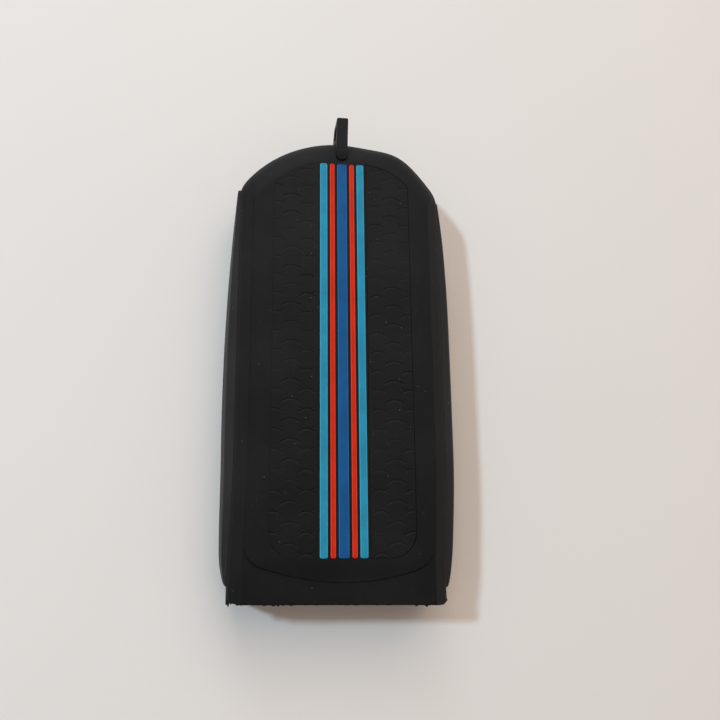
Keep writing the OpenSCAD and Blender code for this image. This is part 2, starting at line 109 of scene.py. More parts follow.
@dataclass(frozen=True)
class SleeveSizes:
    """The sleeve's sizes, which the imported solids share."""

    body_l: float = 92.8
    half_w: float = 20.6
    arch_r: float = 24.5
    corner_r: float = 6.0
    wall: float = 1.9
    seam_z: float = 8.5
    shoulder_w: float = 2.7
    shoulder_z: float = 14.5
    shoulder_top_z: float = 16.6
    back_z: float = 17.0
    plateau_in: float = 2.9
    mouth_y: float = -48.65
    overrun: float = 12.0

    @property
    def arch_y(self) -> float:
        """Distance from the mouth to the arch's centre."""
        return self.body_l - self.arch_r

    @property
    def corner_x(self) -> float:
        """Distance from the middle line to a corner's centre."""
        return self.half_w - self.corner_r

    @property
    def corner_rise(self) -> float:
        """Distance from the arch's centre up to a corner's centre."""
        return math.sqrt((self.arch_r - self.corner_r) ** 2 - self.corner_x**2)

    @property
    def side_end_y(self) -> float:
        """Distance from the mouth to the end of the straight sides."""
        return self.arch_y + self.corner_rise

    @property
    def corner_turn(self) -> float:
        """Turn of a corner between a side and the arch, in degrees."""
        return math.degrees(math.acos(self.corner_x / (self.arch_r - self.corner_r)))


# ---- Mesh tools ----


def clip(value: float) -> float:
    """Holds a share between 0 and 1."""
    return min(1.0, max(0.0, value))


def only(parts: Iterable[object], kind: type[Part]) -> list[Part]:
    """Keeps the parts of a mesh that are of one kind."""
    return [part for part in parts if isinstance(part, kind)]


def whole(bm: BMesh) -> list[BMVert | BMEdge | BMFace]:
    """Lists every point, edge and face of a mesh."""
    return [*bm.verts, *bm.edges, *bm.faces]


def grow(bm: BMesh, tip: BMVert, place: Point) -> BMVert:
    """Draws an edge from a point to a new one.

    Args:
        bm: The mesh.
        tip: The point.
        place: Where the new point goes.

    Returns:
        The new point.
    """
    fresh = bmesh.ops.extrude_vert_indiv(bm, verts=[tip])["verts"][0]
    fresh.co = place
    return fresh


def face_out(bm: BMesh) -> None:
    """Turns every face of a solid outwards."""
    bmesh.ops.recalc_face_normals(bm, faces=list(bm.faces))


def turn_over(bm: BMesh, matrix: Matrix) -> None:
    """Puts a solid into another position."""
    bmesh.ops.transform(bm, matrix=matrix, verts=list(bm.verts))
    face_out(bm)


def to_side(bm: BMesh, side: Side) -> None:
    """Mirrors a solid if it belongs on the left.

    Args:
        bm: The solid, modelled on the right.
        side: Where it belongs.
    """
    if side is Side.LEFT:
        bmesh.ops.scale(bm, verts=list(bm.verts), vec=(-1, 1, 1))
        bmesh.ops.reverse_faces(bm, faces=list(bm.faces))


class Pen:
    """Draws one closed flat outline out of lines and arcs."""

    def __init__(self, x: float, y: float, z: float = 0.0) -> None:
        """Puts the pen down.

        Args:
            x: Where the outline starts.
            y: Where the outline starts.
            z: Height of the flat outline.
        """
        self.bm = bmesh.new()
        self.z = z
        self.first = self.bm.verts.new((x, y, z))
        self.tip = self.first

    def line(self, x: float, y: float) -> Pen:
        """Draws a straight line to a point and gives back the pen."""
        self.tip = grow(self.bm, self.tip, (x, y, self.z))
        return self

    def arc(self, x: float, y: float, degrees: float, steps: int) -> Pen:
        """Draws an arc round a centre.

        Args:
            x: Centre of the arc.
            y: Centre of the arc.
            degrees: How far it turns, counter-clockwise.
            steps: Number of its chords.

        Returns:
            The pen, for the next stroke.
        """
        turn = {"axis": (0, 0, 1), "angle": math.radians(degrees), "steps": steps}
        spun = bmesh.ops.spin(self.bm, geom=[self.tip], cent=(x, y, self.z), **turn)
        self.tip = only(spun["geom_last"], BMVert)[0]
        return self

    def close(self) -> BMesh:
        """Closes the outline and fills it.

        Returns:
            A mesh that holds one flat face, which points up.
        """
        if (self.tip.co - self.first.co).length > WELD:
            self.bm.edges.new((self.tip, self.first))
        bmesh.ops.remove_doubles(self.bm, verts=self.bm.verts, dist=WELD)
        bmesh.ops.contextual_create(self.bm, geom=list(self.bm.edges))
        face = next(iter(self.bm.faces))
        face.normal_update()
        if face.normal.z < 0:
            bmesh.ops.reverse_faces(self.bm, faces=[face])
        return self.bm


def slab(outline: BMesh, height: float) -> BMFace:
    """Raises a flat outline into a closed solid.

    Args:
        outline: A mesh with one flat face that points up, which becomes the solid.
        height: How far the top rises above the outline.

    Returns:
        The solid's top face.
    """
    foot = next(iter(outline.faces))
    grown = bmesh.ops.extrude_face_region(outline, geom=[foot], use_keep_orig=True)
    top = only(grown["geom"], BMFace)[0]
    bmesh.ops.translate(outline, verts=list(top.verts), vec=(0, 0, height))
    face_out(outline)
    return top


def step_in(bm: BMesh, face: BMFace, inset: float, rise: float) -> None:
    """Moves an end face's edge in all round, and the face itself out along its normal."""
    bmesh.ops.inset_region(bm, faces=[face], thickness=inset, depth=rise, use_even_offset=True)


def soften(bm: BMesh, width: float, segments: int, least: float, where: Callable[[Vector], bool]) -> None:
    """Rounds the edges of a solid that turn sharply at one place.

    Args:
        bm: The solid.
        width: How far the rounding reaches from each edge.
        segments: Number of flats across it.
        least: Smallest turn between an edge's two faces, in degrees.
        where: Test of an edge's middle.
    """
    bm.normal_update()
    least = math.radians(least)
    turned = [edge for edge in bm.edges if len(edge.link_faces) == 2 and edge.calc_face_angle(0.0) > least]
    edges = [edge for edge in turned if where((edge.verts[0].co + edge.verts[1].co) / 2)]
    shape = {"offset_type": "OFFSET", "profile": 0.5, "affect": "EDGES", "clamp_overlap": True, "material": -1}
    bmesh.ops.bevel(bm, geom=edges, offset=width, segments=segments, **shape)


def ease(value: float, start: float, end: float) -> float:
    """Gives 0 before one level and 1 past another, with a smooth climb between them."""
    share = clip((value - start) / (end - start))
    return share * share * (3 - 2 * share)


def comb(bm: BMesh, faces: Iterable[BMFace], along: Vector, marks: Iterable[float]) -> None:
    """Cuts faces by a row of parallel planes.

    Args:
        bm: The mesh.
        faces: The faces to cut.
        along: The planes' normal, one unit long.
        marks: Where the planes lie along it, from the lowest up.
    """
    ahead = list(faces)
    for mark in marks:
        geom = dict.fromkeys(part for face in ahead for part in (face, *face.edges, *face.verts))
        cut = bmesh.ops.bisect_plane(bm, geom=list(geom), dist=TOUCH, plane_co=along * mark, plane_no=along)
        ahead = [face for face in only(cut["geom"], BMFace) if face.calc_center_median().dot(along) > mark]


def slice_off(bm: BMesh, point: Vector, outwards: Vector) -> None:
    """Cuts away what lies beyond a plane and closes the cut.

    Args:
        bm: The solid.
        point: A point on the plane.
        outwards: The plane's normal, which points at what goes.
    """
    sliced = bmesh.ops.bisect_plane(
        bm, geom=whole(bm), dist=TOUCH, plane_co=point, plane_no=outwards, clear_outer=True
    )
    bmesh.ops.edgeloop_fill(bm, edges=only(sliced["geom_cut"], BMEdge))
    face_out(bm)


def square_mouth(bm: BMesh) -> None:
    """Cuts a solid off square at the mouth."""
    slice_off(bm, Vector((0, 0, 0)), Vector((0, -1, 0)))


def linked(name: str, data: bpy.types.ID) -> bpy.types.Object:
    """Makes an object and links it to the scene.

    Args:
        name: Its name.
        data: Its mesh, light or camera.

    Returns:
        The object.
    """
    obj = bpy.data.objects.new(name, data)
    bpy.context.scene.collection.objects.link(obj)
    return obj


def stored(name: str, bm: BMesh) -> bpy.types.Mesh:
    """Turns a mesh that was worked on into mesh data.

    Args:
        name: Its name.
        bm: The mesh, which is freed.

    Returns:
        The mesh data.
    """
    mesh = bpy.data.meshes.new(name)
    bm.to_mesh(mesh)
    bm.free()
    return mesh


def carve(solid: BMesh, tool: BMesh, way: Carve) -> BMesh:
    """Cuts, joins or crosses two solids.

    Args:
        solid: The solid that is worked on, which is freed.
        tool: The other solid, which is freed.
        way: What the other solid does to it.

    Returns:
        The new solid.
    """
    worked, other = (linked("loaned", stored("loaned", bm)) for bm in (solid, tool))
    modifier = worked.modifiers.new("carve", "BOOLEAN")
    modifier.operation = way.value
    modifier.solver = "EXACT"
    modifier.object = other
    shaped = worked.evaluated_get(bpy.context.evaluated_depsgraph_get())
    result = bmesh.new()
    result.from_mesh(shaped.to_mesh())
    shaped.to_mesh_clear()
    for obj in (worked, other):
        mesh = obj.data
        bpy.data.objects.remove(obj)
        bpy.data.meshes.remove(mesh)
    bmesh.ops.remove_doubles(result, verts=list(result.verts), dist=WELD)
    bmesh.ops.dissolve_degenerate(result, edges=list(result.edges), dist=WELD)
    return result


@dataclass(frozen=True)
class Slump:
    """How the soft sleeve has settled without its fob, by up to about one and a half millimetres.

    Its mouth leans to the left and isn't quite square, the right half of its arch stands proud of the left half, and
    its ring tab leans and twists. A pair for lean, corner or corner_x is for the left and the right side. Every other
    pair holds the level where a move starts and the level where it is complete.
    """

    lean: Span = (0.65, 0.8)
    lean_x: Span = (12.0, 19.5)
    lean_y: Span = (28.0, 2.0)
    corner: Span = (0.45, 0.8)
    corner_x: Span = (18.2, 19.4)
    corner_out_x: float = 20.8
    corner_y: Span = (3.5, 0.0)
    skew: float = 0.022
    skew_y: Span = (11.0, 2.0)
    proud: float = 1.4
    proud_x: float = 12.8
    proud_w: float = 5.2
    proud_y: Span = (76.0, 88.0)
    tab_lean: float = 0.2
    tab_grown: float = 0.15
    tab_y: Span = (92.0, 93.5)
    twist: float = 0.45
    twist_root_y: Span = (91.5, 92.5)
    twist_y: Span = (97.3, 92.0)
    twist_z: Span = (17.2, 12.0)

    def moved(self, place: Vector) -> Vector:
        """Tells where a point of the sleeve has settled.

        Args:
            place: The point as moulded.

        Returns:
            The point as it lies.
        """
        x, y, z = place
        right = x > 0
        lean = self.lean[right] * ease(abs(x), *self.lean_x) * ease(y, *self.lean_y)
        corner = self.corner[right] * ease(abs(x), self.corner_x[right], self.corner_out_x) * ease(y, *self.corner_y)
        skew = self.skew * x * ease(y, *self.skew_y)
        proud = self.proud * math.exp(-(((x - self.proud_x) / self.proud_w) ** 2)) * ease(y, *self.proud_y)
        tab = ease(y, *self.tab_y)
        foot = ease(y, *self.twist_root_y) * ease(y, *self.twist_y) * ease(z, *self.twist_z)
        across = x - lean + self.tab_lean * tab - self.twist * foot
        return Vector((across, y + corner - skew + proud + self.tab_grown * tab, z))

    def settle(self, bm: BMesh) -> None:
        """Moves every point of a piece of the sleeve."""
        for vert in bm.verts:
            vert.co = self.moved(vert.co)


@dataclass
class Piece:
    """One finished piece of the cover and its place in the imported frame."""

    name: str
    body: str
    slot: str
    stands_for: tuple[str, ...]
    smooth: float = 40.0
    sliver: float = 0.001
    edge_flats: int = 2
    edge_turn: float = 32.0

    def finish(self, bm: BMesh, material: bpy.types.Material, soft_edge: float = 0.0) -> bpy.types.Object:
        """Turns a mesh in millimetres from the mouth into the finished object.

        Args:
            bm: The mesh, which is freed.
            material: Its finish.
            soft_edge: Width of the rounding that a modifier gives the edges that are still sharp.

        Returns:
            The object, which rides on its body and hides the solids that it stands for.
        """
        bmesh.ops.remove_doubles(bm, verts=list(bm.verts), dist=self.sliver)
        loose = [edge for edge in bm.edges if not edge.link_faces]
        bmesh.ops.delete(bm, geom=loose, context="EDGES")
        if self.body == "sleeve":
            Slump().settle(bm)
        bmesh.ops.translate(bm, verts=list(bm.verts), vec=(0, SIZES.mouth_y, 0))
        bmesh.ops.scale(bm, verts=list(bm.verts), vec=(METRES, METRES, METRES))
        mesh = stored(self.name, bm)
        mesh.polygons.foreach_set("use_smooth", [True] * len(mesh.polygons))
        mesh.set_sharp_from_angle(angle=math.radians(self.smooth))
        mesh.materials.append(material)
        obj = linked(self.name, mesh)
        if soft_edge > 0:
            self._round_edges(obj, soft_edge)
        weighted = obj.modifiers.new("even shading", "WEIGHTED_NORMAL")
        weighted.keep_sharp = True
        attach(obj, self.body)
        if self.stands_for:
            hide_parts(*self.stands_for)
        LOG.info("%s: %d faces, rides on %s", self.name, len(mesh.polygons), self.body)
        return obj

    def _round_edges(self, obj: bpy.types.Object, width: float) -> None:
        """Adds the modifier that rounds the sharp edges.

        Args:
            obj: The object.
            width: Width of the rounding.
        """
        bevel = obj.modifiers.new("soft edges", "BEVEL")
        bevel.width = width * METRES
        bevel.segments = self.edge_flats
        bevel.limit_method = "ANGLE"
        bevel.angle_limit = math.radians(self.edge_turn)
        bevel.use_clamp_overlap = True


SIZES = SleeveSizes()
ACROSS = Vector((1, 0, 0))
ALONG = Vector((0, 1, 0))
# Where the shells get edge loops, so that they can follow the slump
LOOPS_X = (-19.8, -19.0, -18.0, -16.5, -15, -13, -10, -5, 0, 3, 5, 7, 9, 11, 13, 15, 16.5, 18.0, 19.0, 19.8)
LOOPS_Y = (0.8, 1.6, 2.5, 4, 6, 8, 11, 14, 18, 22, 28, 76, 79, 82, 84, 86, 87, 88, 89, 90, 91, 92)


def arched(half: float, low_y: float, z: float) -> Pen:
    """Draws what the sleeve's arched outlines share: the right side, both corners, the arch and the left side.

    Args:
        half: Distance of the sides from the middle line.
        low_y: Where the sides start and end.
        z: Its height.

    Returns:
        The pen, at the left side's low end.
    """
    s = SIZES
    pen = Pen(half, low_y, z).line(half, s.side_end_y)
    pen.arc(s.corner_x, s.side_end_y, s.corner_turn, CORNER_STEPS)
    pen.arc(0, s.arch_y, 180 - 2 * s.corner_turn, ARCH_STEPS)
    return pen.arc(-s.corner_x, s.side_end_y, s.corner_turn, CORNER_STEPS).line(-half, low_y)


def sleeve_outline(inset: float, z: float, low_y: float) -> BMesh:
    """Draws the sleeve's filled outline, with a straight low edge, at some distance inside the sleeve's walls."""
    return arched(SIZES.half_w - inset, low_y, z).close()


def bar_outline(x: float, half: float, low_y: float, high_y: float, radius: float, z: float) -> BMesh:
    """Draws a bar along Y with rounded corners.

    Args:
        x: Its middle line.
        half: Half its width.
        low_y: Its lower end.
        high_y: Its upper end.
        radius: Radius of its corners.
        z: Its height.

    Returns:
        A mesh with the filled outline.
    """
    right, left = x + half, x - half
    pen = Pen(right, low_y + radius, z).line(right, high_y - radius)
    pen.arc(right - radius, high_y - radius, 90, 4).line(left + radius, high_y)
    pen.arc(left + radius, high_y - radius, 90, 4).line(left, low_y + radius)
    pen.arc(left + radius, low_y + radius, 90, 4).line(right - radius, low_y)
    return pen.arc(right - radius, low_y + radius, 90, 4).close()


def slot_outline(half: float, radius: float, y: float, z: float, steps: int) -> BMesh:
    """Draws a filled stadium that lies across the cover, where half is the distance from its middle to each centre."""
    pen = Pen(half, y - radius, z).arc(half, y, 180, steps).line(-half, y + radius)
    return pen.arc(-half, y, 180, steps).close()


# ---- Shader tools ----


@dataclass(frozen=True)
class Value:
    """A number socket that takes part in plain maths."""

    graph: Graph
    socket: bpy.types.NodeSocket

    def __add__(self, other: Value | float) -> Value:
        """Adds."""
        return self.graph.maths("ADD", self, other)

    __radd__ = __add__

    def __mul__(self, other: Value | float) -> Value:
        """Multiplies."""
        return self.graph.maths("MULTIPLY", self, other)

    def __sub__(self, other: Value | float) -> Value:
        """Takes away."""
        return self.graph.maths("SUBTRACT", self, other)

    def __rsub__(self, other: float) -> Value:
        """Takes the value away from a number."""
        return self.graph.maths("SUBTRACT", other, self)

    def __abs__(self) -> Value:
        """Drops the sign."""
        return self.graph.maths("ABSOLUTE", self)

    def ramp(self, low: float, high: float) -> Value:
        """Turns the value smoothly from 0 at one level to 1 at another.

        Args:
            low: Level that gives 0.
            high: Level that gives 1.

        Returns:
            The smooth step.
        """
        settings = {"interpolation_type": "SMOOTHSTEP", "clamp": True}
        inputs = {"Value": self, "From Min": low, "From Max": high}
        return self.graph.value(self.graph.node("ShaderNodeMapRange", settings, inputs), "Result")


Input = Value | bpy.types.NodeSocket | float | Iterable[float]


class Graph:
    """The node tree of one material or world."""

    def __init__(self, owner: bpy.types.Material | bpy.types.World) -> None:
        """Empties the node tree of a material or world.

        Args:
            owner: The material or world.
        """
        owner.use_nodes = True
        self.owner = owner
        self.tree = owner.node_tree
        self.tree.nodes.clear()

    def node(
        self, kind: str, settings: Mapping[str, object] | None = None, inputs: Mapping[str | int, Input] | None = None
    ) -> bpy.types.Node:
        """Adds one node.

        Args:
            kind: Its Blender type.
            settings: Properties that are set before the sockets.
            inputs: What goes into its sockets, by name or number.

        Returns:
            The node.
        """
        made = self.tree.nodes.new(kind)
        for key, setting in (settings or {}).items():
            setattr(made, key, setting)
        for key, given in (inputs or {}).items():
            socket = made.inputs[key]
            if isinstance(given, Value):
                self.tree.links.new(given.socket, socket)
            elif isinstance(given, bpy.types.NodeSocket):
                self.tree.links.new(given, socket)
            else:
                socket.default_value = given
        return made

    def value(self, node: bpy.types.Node, output: str | int) -> Value:
        """Wraps a number output of a node."""
        return Value(self, node.outputs[output])

    def maths(self, operation: str, *terms: Value | float) -> Value:
        """Adds a Math node of one or two terms and gives its result."""
        return self.value(self.node("ShaderNodeMath", {"operation": operation}, dict(enumerate(terms))), 0)

    def place(self) -> bpy.types.NodeSocket:
        """Gives the point on the piece, in metres in the shared frame."""
        return self.node("ShaderNodeTexCoord").outputs["Object"]

    def noise(self, scale: float, detail: float = 3.0, stretch: Iterable[float] = (1, 1, 1)) -> Value:
        """Adds a cloud of noise.

        Args:
            scale: Its features per metre.
            detail: Its number of finer layers.
            stretch: Scale of the pattern along each axis.

        Returns:
            Its level, from 0 to 1.
        """
        turned = self.node("ShaderNodeMapping", None, {"Vector": self.place(), "Scale": stretch})
        inputs = {"Vector": turned.outputs[0], "Scale": scale, "Detail": detail}
        return self.value(self.node("ShaderNodeTexNoise", None, inputs), 0)

    def specks(self, spacing: float, radius: float, share: float, turn: float, stretch: Iterable[float]) -> Value:
        """Scatters small specks.

        Args:
            spacing: Distance between the places for one, in metres.
            radius: Radius of a speck, as a share of that distance.
            share: Share of the places that hold one.
            turn: Angle that the pattern is turned by.
            stretch: Scale of the pattern along each axis.

        Returns:
            A mask that is 1 on a speck.
        """
        settings = {"Vector": self.place(), "Rotation": (0.3, 0.2, turn), "Scale": stretch}
        turned = self.node("ShaderNodeMapping", None, settings)
        cells = self.node("ShaderNodeTexVoronoi", None, {"Vector": turned.outputs[0], "Scale": 1 / spacing})
        lot = self.value(self.node("ShaderNodeSeparateColor", None, {0: cells.outputs["Color"]}), 0)
        near = 1 - self.value(cells, "Distance").ramp(radius * 0.5, radius)
        return near * lot.ramp(1 - share, 1 - share + 0.01)

    def mix(self, factor: Value | float, low: Input, high: Input) -> bpy.types.NodeSocket:
        """Mixes two colours, where the factor says how much of the second one."""
        made = self.node("ShaderNodeMix", {"data_type": "RGBA"}, {"Factor": factor, 6: low, 7: high})
        return made.outputs[2]

    def bump(self, height: Value, depth: float, below: bpy.types.NodeSocket | None = None) -> bpy.types.NodeSocket:
        """Adds relief.

        Args:
            height: The relief's level, from 0 to 1.
            depth: Its depth in metres.
            below: The normal of the relief that it lies on.

        Returns:
            The normal.
        """
        inputs: dict[str | int, Input] = {"Height": height, "Distance": depth, "Strength": 1.0}
        if below is not None:
            inputs["Normal"] = below
        return self.node("ShaderNodeBump", None, inputs).outputs[0]

    def surface(self, inputs: Mapping[str | int, Input]) -> bpy.types.Material:
        """Closes the tree with its shader.

        Args:
            inputs: What goes into the shader's sockets.

        Returns:
            The finished material.
        """
        shader = self.node("ShaderNodeBsdfPrincipled", None, inputs)
        self.node("ShaderNodeOutputMaterial", None, {"Surface": shader.outputs[0]})
        return self.owner


def paint(colour: Colour) -> tuple[float, float, float, float]:
    """Gives a colour the fourth number that a colour socket takes."""
    return (*colour, 1.0)


# ---- Finishes ----


@dataclass(frozen=True)
class BlackSilicone:
    """Matt moulded silicone with a fine grain, a dusty film and stray lint."""

    name: str
    colour: Colour = (0.005, 0.005, 0.0055)
    film: Colour = (0.015, 0.0148, 0.0145)
    lint: Colour = (0.13, 0.126, 0.122)
    roughness: float = 0.5
    ior: float = 1.36
    cloud_scale: float = 70
    cloud_levels: Span = (0.35, 0.75)
    cloud_dust: float = 0.45
    scuff_scale: float = 900
    scuff_levels: Span = (0.62, 0.8)
    scuff_dust: float = 0.4
    grain_scale: float = 5200
    grain_depth: float = 0.00003
    swell_scale: float = 420
    swell_depth: float = 0.00006
    lint_share: float = 0.3

    def make(self) -> bpy.types.Material:
        """Builds the material.

        Returns:
            The finish, ready for a piece.
        """
        g = Graph(bpy.data.materials.new(self.name))
        cloud = g.noise(self.cloud_scale, 4)
        grain = g.noise(self.grain_scale, 2)
        scuffs = g.noise(self.scuff_scale, 3, (1, 0.25, 1)).ramp(*self.scuff_levels)
        dust = cloud.ramp(*self.cloud_levels) * self.cloud_dust + scuffs * self.scuff_dust
        specks = g.specks(0.0016, 0.07, self.lint_share, 0.4, (1, 1, 1))
        fibres = g.specks(0.0042, 0.028, self.lint_share * 0.5, 0.9, (1, 0.12, 1))
        lint = g.maths("MAXIMUM", specks, fibres)
        base = g.mix(dust, paint(self.colour), paint(self.film))
        base = g.mix(lint, base, paint(self.lint))
        rough = self.roughness + cloud * 0.1 + grain * 0.08
        normal = g.bump(g.noise(self.swell_scale, 3), self.swell_depth, g.bump(grain, self.grain_depth))
        return g.surface({"Base Color": base, "Roughness": rough, "Normal": normal, "IOR": self.ior})


@dataclass(frozen=True)
class StripeSilicone:
    """Satin coloured silicone of one stripe, with a painted highlight along its rounded rim."""

    name: str
    colour: Colour
    middle: float
    half: float
    # rim, rim_w and highlight_share: colour, width in metres and strength of the painted highlight along the rounded
    # rim
    rim: Colour
    rim_w: float = 0.00028
    roughness: float = 0.46
    worn: float = 0.82
    highlight_share: float = 0.55
    fleck: Colour = (0.02, 0.02, 0.022)
    fleck_share: float = 0.16
    fleck_strength: float = 0.6
    grain_depth: float = 0.00002
    ior: float = 1.34

    def make(self) -> bpy.types.Material:
        """Builds the material.

        Returns:
            The finish, ready for a piece.
        """
        g = Graph(bpy.data.materials.new(self.name))
        axes = g.node("ShaderNodeSeparateXYZ", None, {0: g.place()})
        across = abs(abs(g.value(axes, 0)) - self.middle)
        # Painted highlight: the rim colour is mixed in along a thin band at each long edge of the stripe
        edge = across.ramp(self.half - self.rim_w, self.half)
        cloud = g.noise(260, 4)
        grain = g.noise(4200, 3)
        shade = tuple(c * self.worn for c in self.colour)
        base = g.mix(cloud.ramp(0.3, 0.7), paint(shade), paint(self.colour))
        base = g.mix(edge * self.highlight_share, base, paint(self.rim))
        flecks = g.specks(0.0018, 0.05, self.fleck_share, 1.1, (1, 1, 1)) * self.fleck_strength
        base = g.mix(flecks, base, paint(self.fleck))
        rough, normal = self.roughness + grain * 0.12, g.bump(grain, self.grain_depth)
        return g.surface({"Base Color": base, "Roughness": rough, "Normal": normal, "IOR": self.ior})


@dataclass(frozen=True)
class SignSilicone:
    """Pale silicone of a button's sign, slightly grubby."""

    name: str
    colour: Colour = (0.62, 0.62, 0.6)
    grime: Colour = (0.3, 0.29, 0.27)

    def make(self) -> bpy.types.Material:
        """Builds the material.

        Returns:
            The finish, ready for a piece.
        """
        g = Graph(bpy.data.materials.new(self.name))
        grain = g.noise(2600, 3)
        base = g.mix(g.noise(700, 4).ramp(0.45, 0.85) * 0.7, paint(self.colour), paint(self.grime))
        return g.surface({"Base Color": base, "Roughness": 0.5 + grain * 0.1, "Normal": g.bump(grain, 0.00002)})


@dataclass(frozen=True)
class TableTop:
    """Pale smooth table with faint clouds."""

    name: str = "table_top"
    colour: Colour = (0.82, 0.8, 0.785)
    shade: Colour = (0.795, 0.775, 0.76)

    def make(self) -> bpy.types.Material:
        """Builds the material.

        Returns:
            The finish, ready for a piece.
        """
        g = Graph(bpy.data.materials.new(self.name))
        base = g.mix(g.noise(14, 3), paint(self.colour), paint(self.shade))
        return g.surface({"Base Color": base, "Roughness": 0.75, "Normal": g.bump(g.noise(900, 3), 0.00002)})


@dataclass
class Finishes:
    """Every finish of the cover, built once."""

    body: bpy.types.Material = field(default_factory=lambda: BlackSilicone("black_silicone").make())
    grip: bpy.types.Material = field(
        default_factory=lambda: BlackSilicone(
            "grip_silicone", (0.018, 0.018, 0.0185), (0.034, 0.0335, 0.033), roughness=0.45, lint_share=0.2
        ).make()
    )
    tread: bpy.types.Material = field(default_factory=lambda: BlackSilicone("tread_silicone", lint_share=0.42).make())
    pad: bpy.types.Material = field(
        default_factory=lambda: BlackSilicone("pad_silicone", roughness=0.46, lint_share=0.12).make()
    )
    sign: bpy.types.Material = field(default_factory=lambda: SignSilicone("sign_silicone").make())


# ---- The two shells ----


@dataclass
class BackShell:
    """The upper moulding: shoulder, raised back, seats for the inlays and the pocket under them."""

    seats: list[Callable[[float, float], BMesh]]
    plateau_low_y: float = 3.8
    plateau_low_r: float = 43.0
    plateau_corner_r: float = 4.5
    plateau_foot_z: float = 16.3
    plateau_edge_r: float = 0.3
    plateau_low_drop: float = 0.27
    plateau_drop_ys: tuple[float, ...] = (4.6, 5.4, 6.2, 7.0, 8.0)
    seat_z: float = 16.1
    seat_top_z: float = 19.0
    shoulder_r: float = 0.75
    mouth_r: float = 0.16
    slope_low_y: float = 66.0
    slope_w: float = 2.65
    slope_base_h: float = 3.0
    fade_low_y: float = 72.0
    fade_l: float = 10.0
    ledge_sunk: float = 0.8
    mould_lifted: float = 1.2
    mould_out: float = 0.02
    arch_round: float = 2.3
    spare: float = 1.0
    kept_over_shoulder: float = 0.8
    kept_h: float = 20.0
    kept_back: float = 0.5
    ceiling_in: float = 3.866
    ceiling_low_z: float = 13.571
    ceiling_z: float = 15.1

    def round_shoulder(self, bm: BMesh) -> None:
        """Rounds the edge between a solid's side and its shoulder."""
        soften(bm, self.shoulder_r, 5, 20, lambda p: abs(p.z - SIZES.shoulder_z) < ABOUT)

    def outer(self) -> BMesh:
        """Models the outside up to the shoulder's top, with rounded edges.

        Returns:
            A closed solid, square at the mouth.
        """
        s = SIZES
        bm = sleeve_outline(0, s.seam_z, -s.overrun)
        top = slab(bm, s.shoulder_z - s.seam_z)
        step_in(bm, top, s.shoulder_w, s.shoulder_top_z - s.shoulder_z)
        self.round_shoulder(bm)
        square_mouth(bm)
        soften(bm, self.mouth_r, 3, 40, lambda p: p.y < NEAR and p.z > s.seam_z + NEAR)
        return bm

    def plateau(self) -> BMesh:
        """Models the raised back with its bowed lower edge.

        Returns:
            A closed solid.
        """
        s = SIZES
        half = s.half_w - s.plateau_in
        low_x = half - self.plateau_corner_r
        reach = self.plateau_low_r - self.plateau_corner_r
        low_y = self.plateau_low_y + self.plateau_low_r - math.sqrt(reach**2 - low_x**2)
        turn = math.degrees(math.acos(low_x / reach))
        pen = arched(half, low_y, self.plateau_foot_z)
        pen.arc(-low_x, low_y, turn, 8)
        pen.arc(0, self.plateau_low_y + self.plateau_low_r, 180 - 2 * turn, 16)
        bm = pen.arc(low_x, low_y, turn, 8).close()
        slab(bm, s.back_z - self.plateau_foot_z)
        comb(bm, bm.faces, ALONG, self.plateau_drop_ys)
        for vert in bm.verts:
            if vert.co.z > s.back_z - NEAR:
                drop = 1 - ease(vert.co.y, self.plateau_low_y, self.plateau_drop_ys[-1])
                vert.co.z -= self.plateau_low_drop * drop
        rim_z = s.back_z - self.plateau_low_drop - ABOUT
        soften(bm, self.plateau_edge_r, 4, 40, lambda p: p.z > rim_z)
        return bm

    def arch_slope(self, inset: float, fade: float, rounding: float) -> BMesh:
        """Models the slope that takes the shoulder over into the raised back round the arch.

        Args:
            inset: How far inside the sleeve's walls it starts.
            fade: How far it has risen along the sides below the arch, or sunk if less than 0.
            rounding: Width of the rounding between the slope and the back, or 0 to round the shoulder's edge.

        Returns:
            A closed solid.
        """
        s = SIZES
        bm = sleeve_outline(inset, s.shoulder_z - self.slope_base_h, self.slope_low_y)
        top = slab(bm, self.slope_base_h)
        step_in(bm, top, self.slope_w, s.back_z - s.shoulder_z)
        if rounding > 0:
            soften(bm, rounding, 10, 20, lambda p: p.z > s.back_z - ABOUT)
        else:
            self.round_shoulder(bm)
        comb(bm, bm.faces, ALONG, [self.fade_low_y + step for step in range(int(self.fade_l) + 1)])
        for vert in bm.verts:
            vert.co.z += fade * (1 - ease(vert.co.y, self.fade_low_y, self.fade_low_y + self.fade_l))
        return bm

    def rounded_arch(self, bm: BMesh) -> BMesh:
        """Fills the ledge round the arch and rounds the slope over into the back.

        Args:
            bm: The shell's outside with its raised back.

        Returns:
            The smoother solid.
        """
        bm = carve(bm, self.arch_slope(0.0, -self.ledge_sunk, 0.0), Carve.JOIN)
        mould = self.arch_slope(-self.mould_out, self.mould_lifted, self.arch_round)
        low, long = (sleeve_outline(-self.spare, SIZES.seam_z - self.spare, -self.spare) for _ in range(2))
        slab(low, SIZES.shoulder_z - SIZES.seam_z + self.kept_over_shoulder)
        slab(long, self.kept_h)
        slice_off(long, Vector((0, self.fade_low_y - self.kept_back, 0)), Vector((0, 1, 0)))
        return carve(bm, carve(carve(mould, low, Carve.JOIN), long, Carve.JOIN), Carve.KEEP)

    def pocket(self) -> BMesh:
        """Models the room that the fob takes in this half.

        Returns:
            A closed solid.
        """
        s = SIZES
        bm = sleeve_outline(s.wall, s.seam_z - 1, -s.overrun)
        top = slab(bm, self.ceiling_low_z - s.seam_z + 1)
        step_in(bm, top, self.ceiling_in - s.wall, self.ceiling_z - self.ceiling_low_z)
        return bm

